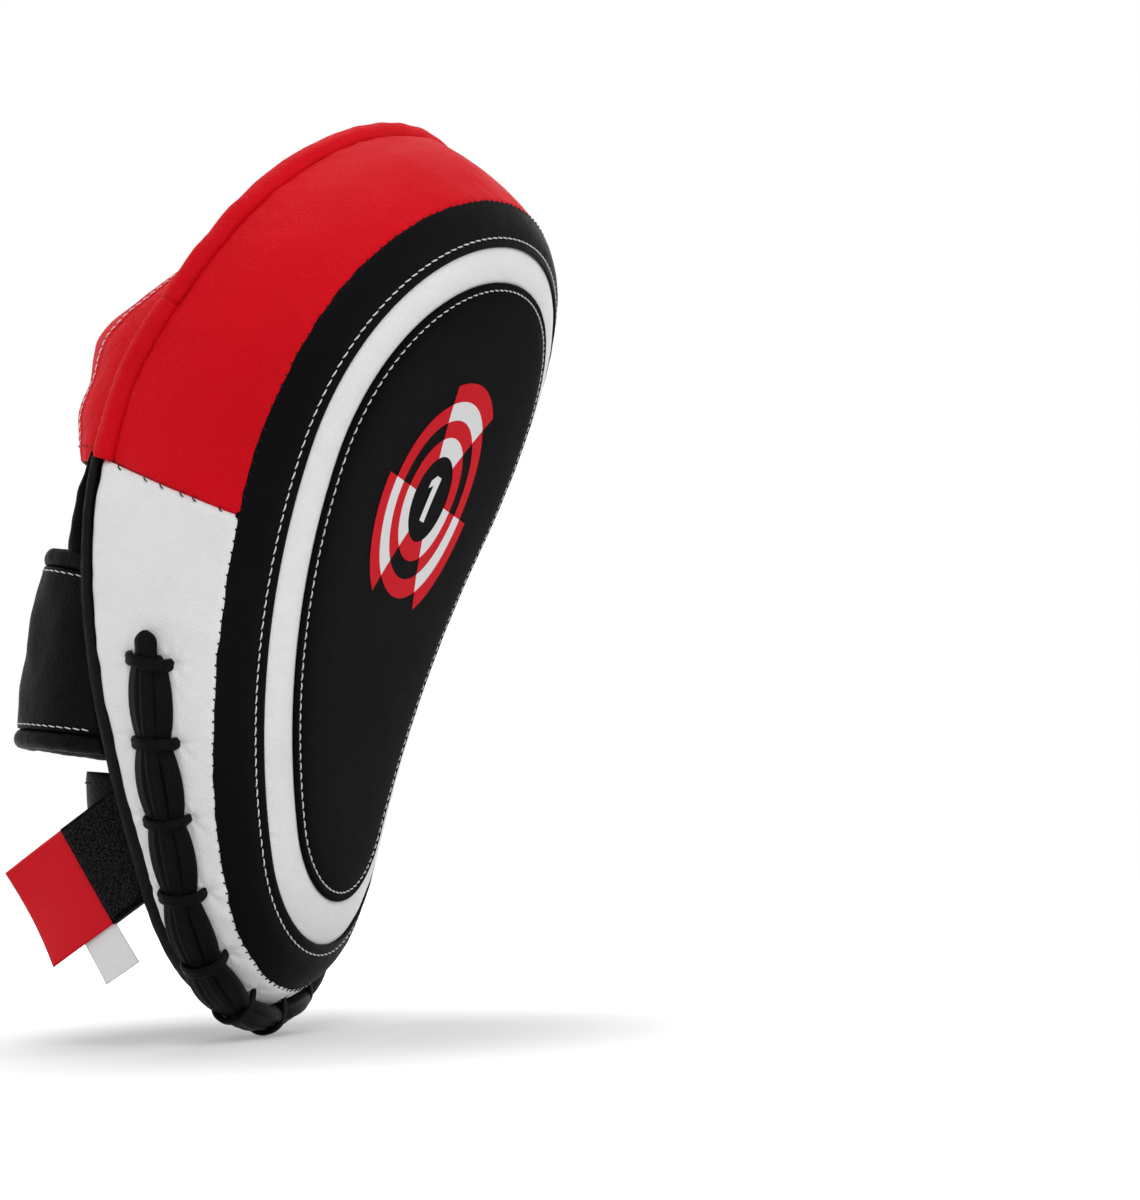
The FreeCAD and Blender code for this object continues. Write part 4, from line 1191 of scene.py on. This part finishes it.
class SewStrap(bpy.types.Operator):
    """Wrist strap with its fuzzy free end and two blank woven labels."""
    bl_idname = "pad.strap"
    bl_label = "Wrist strap"
    SHORT = 26.0 * MM       # how far the free end reaches back under the strap
    TAB_REACH, TAB_CLEAR = 27 * MM, 2.2 * MM
    FIBRES = 2600
    FIBRE_LEAN, FIBRE_HALF = 1.4 * MM, 0.11 * MM

    def room(self, pad, along):
        """How far the free end may reach towards the pad here and stay clear of the back panel."""
        reach = self.TAB_REACH
        while reach > 0:
            point = tab_point(pad, along, -reach)
            y, z = point.y - pad.axis_y, point.z - pad.axis_z
            up = (math.atan2(z, y) - pad.s.lean_angle) * pad.s.bend_radius
            height = math.hypot(z, y) - pad.s.bend_radius - pad.back_depth(max(min(up, 0.08), -0.17))
            if height > self.TAB_CLEAR:
                return reach
            reach -= 0.5 * MM
        return 0.0

    def strap(self, pad):
        """The arch over the wrist, kept clear of the back at its feet."""
        rows = []
        for up in spread(STRAP_TOP, STRAP_FOOT, 16):
            side = min(up - STRAP_FOOT, STRAP_TOP - up)
            thin = 0.35 * MM * hump(side, 1.0 * MM)
            outer = thin + 0.3 * MM * hump(side - 3 * MM, 0.7 * MM)
            inner = STRAP_THICK - thin
            rearward = pad.rearward(up)
            row, under = [], []
            for a in spread(0.02 * PI, 0.98 * PI, 110):
                top = arch_point(pad, up, STRAP - outer, STRAP_TALL - outer, a)
                low = arch_point(pad, up, STRAP - inner, STRAP_TALL - inner, a)
                for point in (top, low):
                    height = (point - pad.on_back(point.x, up)).dot(rearward)
                    point += rearward * max(STRAP_THICK - height, 0.0)
                row.append(top + (top - low).normalized() * ripple(top, 11 * MM, 0.3 * MM, 2.0))
                under.append(low)
            rows.append(row + under[::-1])
        return rows

    def fibres(self, pad):
        """Short looped fibres: bent slivers that each lean their own way."""
        sewing = Sewing()
        for number in range(self.FIBRES):
            along = 1.75 * MM + 31.5 * MM * ((0.7548777 * number) % 1)
            out = -1.2 * MM - 24 * MM * ((0.5698403 * number) % 1)
            if -out > self.room(pad, along):
                continue
            lean = Vector([noise.cell(Vector((number, 5.5, k * 9.1)))
                           for k in range(3)]) * self.FIBRE_LEAN
            foot = tab_point(pad, along, out, -1.3 * MM)
            bend = foot + Vector((-0.7 * MM, lean.y * 0.4, lean.z * 0.4))
            side = Vector((0, -lean.z, lean.y)).normalized() * self.FIBRE_HALF
            n = len(sewing.verts)
            sewing.verts += [foot - side, foot + side, bend + side, bend - side,
                             foot + Vector((-0.9 * MM, lean.y, lean.z))]
            sewing.faces += [(n, n + 1, n + 2, n + 3), (n + 3, n + 2, n + 4)]
        return sewing

    def execute(self, context):
        pad = form()
        sewing = Sewing()
        sewing.sweep(self.strap(pad))
        sewing.piece("wrist_strap_leather", "cuff_leather", "black_leather", "wrist_strap",
                     body="strap")
        # free end: a doubled leather tab that reaches back under the strap, with its pile outside
        sewing = Sewing()
        plate_body(sewing, pad, (35 * MM, self.SHORT),
                   lambda a, o: (a, max(o - self.SHORT, -self.room(pad, a))), 2.2 * MM)
        sewing.piece("strap_free_end", "cuff_leather", "black_leather", "strap_tab", body="strap",
                     smooth=False)
        sewing = Sewing()
        plate_body(sewing, pad, (31.5 * MM, 24.5 * MM),
                   lambda a, o: (a + 1.75 * MM, max(o - 25.5 * MM, -self.room(pad, a))), 1.25 * MM,
                   (40, 34), lambda c, r: (0.175 * (abs(2 * c - 1) ** 8 + abs(2 * r - 1) ** 8) - 1.35
                                           + 0.12 * noise.noise(Vector((c * 40, r * 34, 0)))) * MM)
        sewing.piece("strap_pile_face", "pile", "hook_and_loop", "strap_loop_face", body="strap")
        self.fibres(pad).piece("strap_pile_fibres", "pile_fibres", "hook_and_loop", body="strap")
        thread = Sewing()
        for up in (STRAP_TOP - 3 * MM, STRAP_FOOT + 3 * MM):
            places = [((up, STRAP, STRAP_TALL), a) for a in spread(0.09 * PI, 0.91 * PI, 200)]
            arch_row(thread, pad, places, pad.s.stitch_pitch, thick=0.46 * MM)
        thread.piece("strap_stitching", "black_thread", "black_binding", body="strap")
        sewing = Sewing()
        plate_body(sewing, pad, (34.6 * MM, 24 * MM), lambda a, o: (a + 0.2 * MM, o - 0.8 * MM),
                   0.5 * MM, (40, 30),
                   lambda c, r: (0.1 + 2.6 * r * r * math.sin(2.6 * c + 0.3) - 1.6 * r * c) * MM)
        red = sewing.piece("red_woven_label", "red_label", "red_label", "red_label", body="strap")
        sewing = Sewing()
        plate_body(sewing, pad, (18 * MM, 12 * MM), lambda a, o: (a + 31 * MM, o - 0.4 * MM),
                   0.4 * MM, (24, 16), lambda c, r: (0.9 + 0.9 * c * c * math.cos(2.2 * r)) * MM)
        care = sewing.piece("white_woven_label", "care_label", "white_label", "care_label",
                            body="strap")
        return {"FINISHED"}


# ---------------------------------------------------------------- floor, lamps and camera
def either(tree, rays):
    """Socket that is 1 for any of these rays."""
    path = add_node(tree, "ShaderNodeLightPath")
    seen = path.outputs[rays[0]]
    for ray in rays[1:]:
        seen = add_node(tree, "ShaderNodeMath", [(0, seen), (1, path.outputs[ray])],
                        operation="MAXIMUM").outputs[0]
    return seen


class SetStage(bpy.types.Operator):
    """White floor and backdrop, soft lamps, and the camera low on the pad's laced side."""
    bl_idname = "pad.stage"
    bl_label = "Stage"
    SEEN = ("Is Camera Ray", "Is Glossy Ray", "Is Transmission Ray")
    # name, place, size, power
    LAMPS = (("key", (-1.2, -0.5, 1.3), 0.8, 9.0), ("side", (-1.4, -0.7, 0.2), 0.8, 4.5),
             ("front", (0.3, -1.5, 0.7), 0.9, 6.0), ("top", (0.1, 0.2, 1.7), 0.9, 6.0),
             ("rear", (-0.3, 1.4, 0.6), 0.9, 6.0), ("far", (1.4, 0.1, 0.7), 0.9, 5.0))
    AIM = Vector((0, 0, 0.15))
    LENS = 47.37
    # the camera's axes, and its place from the axis of the pad's bend
    CAMERA = ((0.23825, -0.16664, -0.95679, -0.49404), (-0.97071, -0.07128, -0.2293, 0.13381),
              (-0.03003, 0.98349, -0.17881, 0.00983), (0, 0, 0, 1))

    def floor(self, context):
        """Emission on camera and glossy rays grows away from the pad, so the floor meets the backdrop
        without a line; the weaker glow near the pad paints a shadow round it, added to the real one.
        """
        sewing = Sewing()
        sewing.grid([[Vector((x, y, 0)) for x in (-6, 0, 6)] for y in (-6, 0, 6)])
        mesh = bpy.data.meshes.new("floor")
        mesh.from_pydata([tuple(v) for v in sewing.verts], [], sewing.faces)
        floor = bpy.data.objects.new("floor", mesh)
        context.scene.collection.objects.link(floor)
        item = bpy.data.materials.new("white_floor")
        tree, output = new_tree(item, "ShaderNodeOutputMaterial")
        diffuse = add_node(tree, "ShaderNodeBsdfDiffuse", Color=(0.86, 0.86, 0.86, 1))
        where = add_node(tree, "ShaderNodeTexCoord").outputs["Object"]
        away = add_node(tree, "ShaderNodeVectorMath", [(0, where)], operation="LENGTH")
        # painted shadow: the glow is weakest within a few centimetres of the pad, darkening the floor
        # round it
        level = add_node(tree, "ShaderNodeMapRange", [("Value", away.outputs["Value"])],
                         interpolation_type="SMOOTHSTEP", From_Min=0.04, From_Max=0.3, To_Min=0.18,
                         To_Max=1.0)
        strength = add_node(tree, "ShaderNodeMath", [(0, either(tree, self.SEEN)),
                                                     (1, level.outputs[0])], operation="MULTIPLY")
        glow_with_painted_shadow = add_node(tree, "ShaderNodeEmission", [("Strength", strength.outputs[0])],
                        Color=(1, 1, 1, 1))
        total = add_node(tree, "ShaderNodeAddShader", [(0, diffuse.outputs[0]),
                                                       (1, glow_with_painted_shadow.outputs[0])])
        tree.links.new(total.outputs[0], output.inputs["Surface"])
        mesh.materials.append(item)

    def execute(self, context):
        pad = form()
        self.floor(context)
        world = context.scene.world = bpy.data.worlds.new("pale_studio")
        tree, output = new_tree(world, "ShaderNodeOutputWorld")
        strength = add_node(tree, "ShaderNodeMapRange", [("Value", either(tree, self.SEEN))],
                            To_Min=0.28, To_Max=1.0)
        sky = add_node(tree, "ShaderNodeBackground", [("Strength", strength.outputs[0])],
                       Color=(1, 1, 1, 1))
        tree.links.new(sky.outputs[0], output.inputs["Surface"])
        for name, at, size, power in self.LAMPS:
            lamp = bpy.data.lights.new(name, "AREA")
            lamp.size, lamp.energy = size, power
            holder = bpy.data.objects.new(name, lamp)
            holder.location = at
            holder.rotation_euler = (self.AIM - Vector(at)).to_track_quat("-Z", "Y").to_euler()
            context.scene.collection.objects.link(holder)
        lens = bpy.data.cameras.new("camera")
        lens.lens, lens.sensor_width, lens.sensor_fit = self.LENS, 36.0, "AUTO"
        lens.clip_start = 0.01
        camera = bpy.data.objects.new("camera", lens)
        camera.matrix_world = Matrix.Translation((0, pad.axis_y, pad.axis_z)) @ Matrix(self.CAMERA)
        context.scene.collection.objects.link(camera)
        context.scene.camera = camera
        context.scene.view_settings.view_transform = "Standard"
        return {"FINISHED"}


class PadPanel(bpy.types.Panel):
    """Lists the sizes, the colours and the pieces."""
    bl_idname = "PAD_PT_pieces"
    bl_label = "Curved focus pad"
    bl_space_type = "VIEW_3D"
    bl_region_type = "UI"
    bl_category = "Pad"

    def draw(self, context):
        for group, kind in ((context.scene.pad_sizes, PadSizes),
                            (context.scene.pad_colours, PadColours)):
            for name in kind.__annotations__:
                self.layout.prop(group, name)
        for operator in OPERATORS:
            self.layout.operator(operator.bl_idname)


OPERATORS = (SetStage, SewFace, PrintTarget, SewSides, SewSeamTicks, RollEdges, ThreadLace, SewHood,
             SewCuff, SewBack, SewStrap)
CLASSES = (PadSizes, PadColours) + OPERATORS + (PadPanel,)


def register():
    for kind in CLASSES:
        bpy.utils.register_class(kind)
    bpy.types.Scene.pad_sizes = bpy.props.PointerProperty(type=PadSizes)
    bpy.types.Scene.pad_colours = bpy.props.PointerProperty(type=PadColours)


def unregister():
    del bpy.types.Scene.pad_sizes, bpy.types.Scene.pad_colours
    for kind in reversed(CLASSES):
        bpy.utils.unregister_class(kind)


def main():
    register()
    for operator in OPERATORS:
        group, name = operator.bl_idname.split(".")
        getattr(getattr(bpy.ops, group), name)()
    # meshes were made after the last update, so update once more to put them in place
    bpy.context.view_layer.update()


if __name__ == "__main__":
    main()
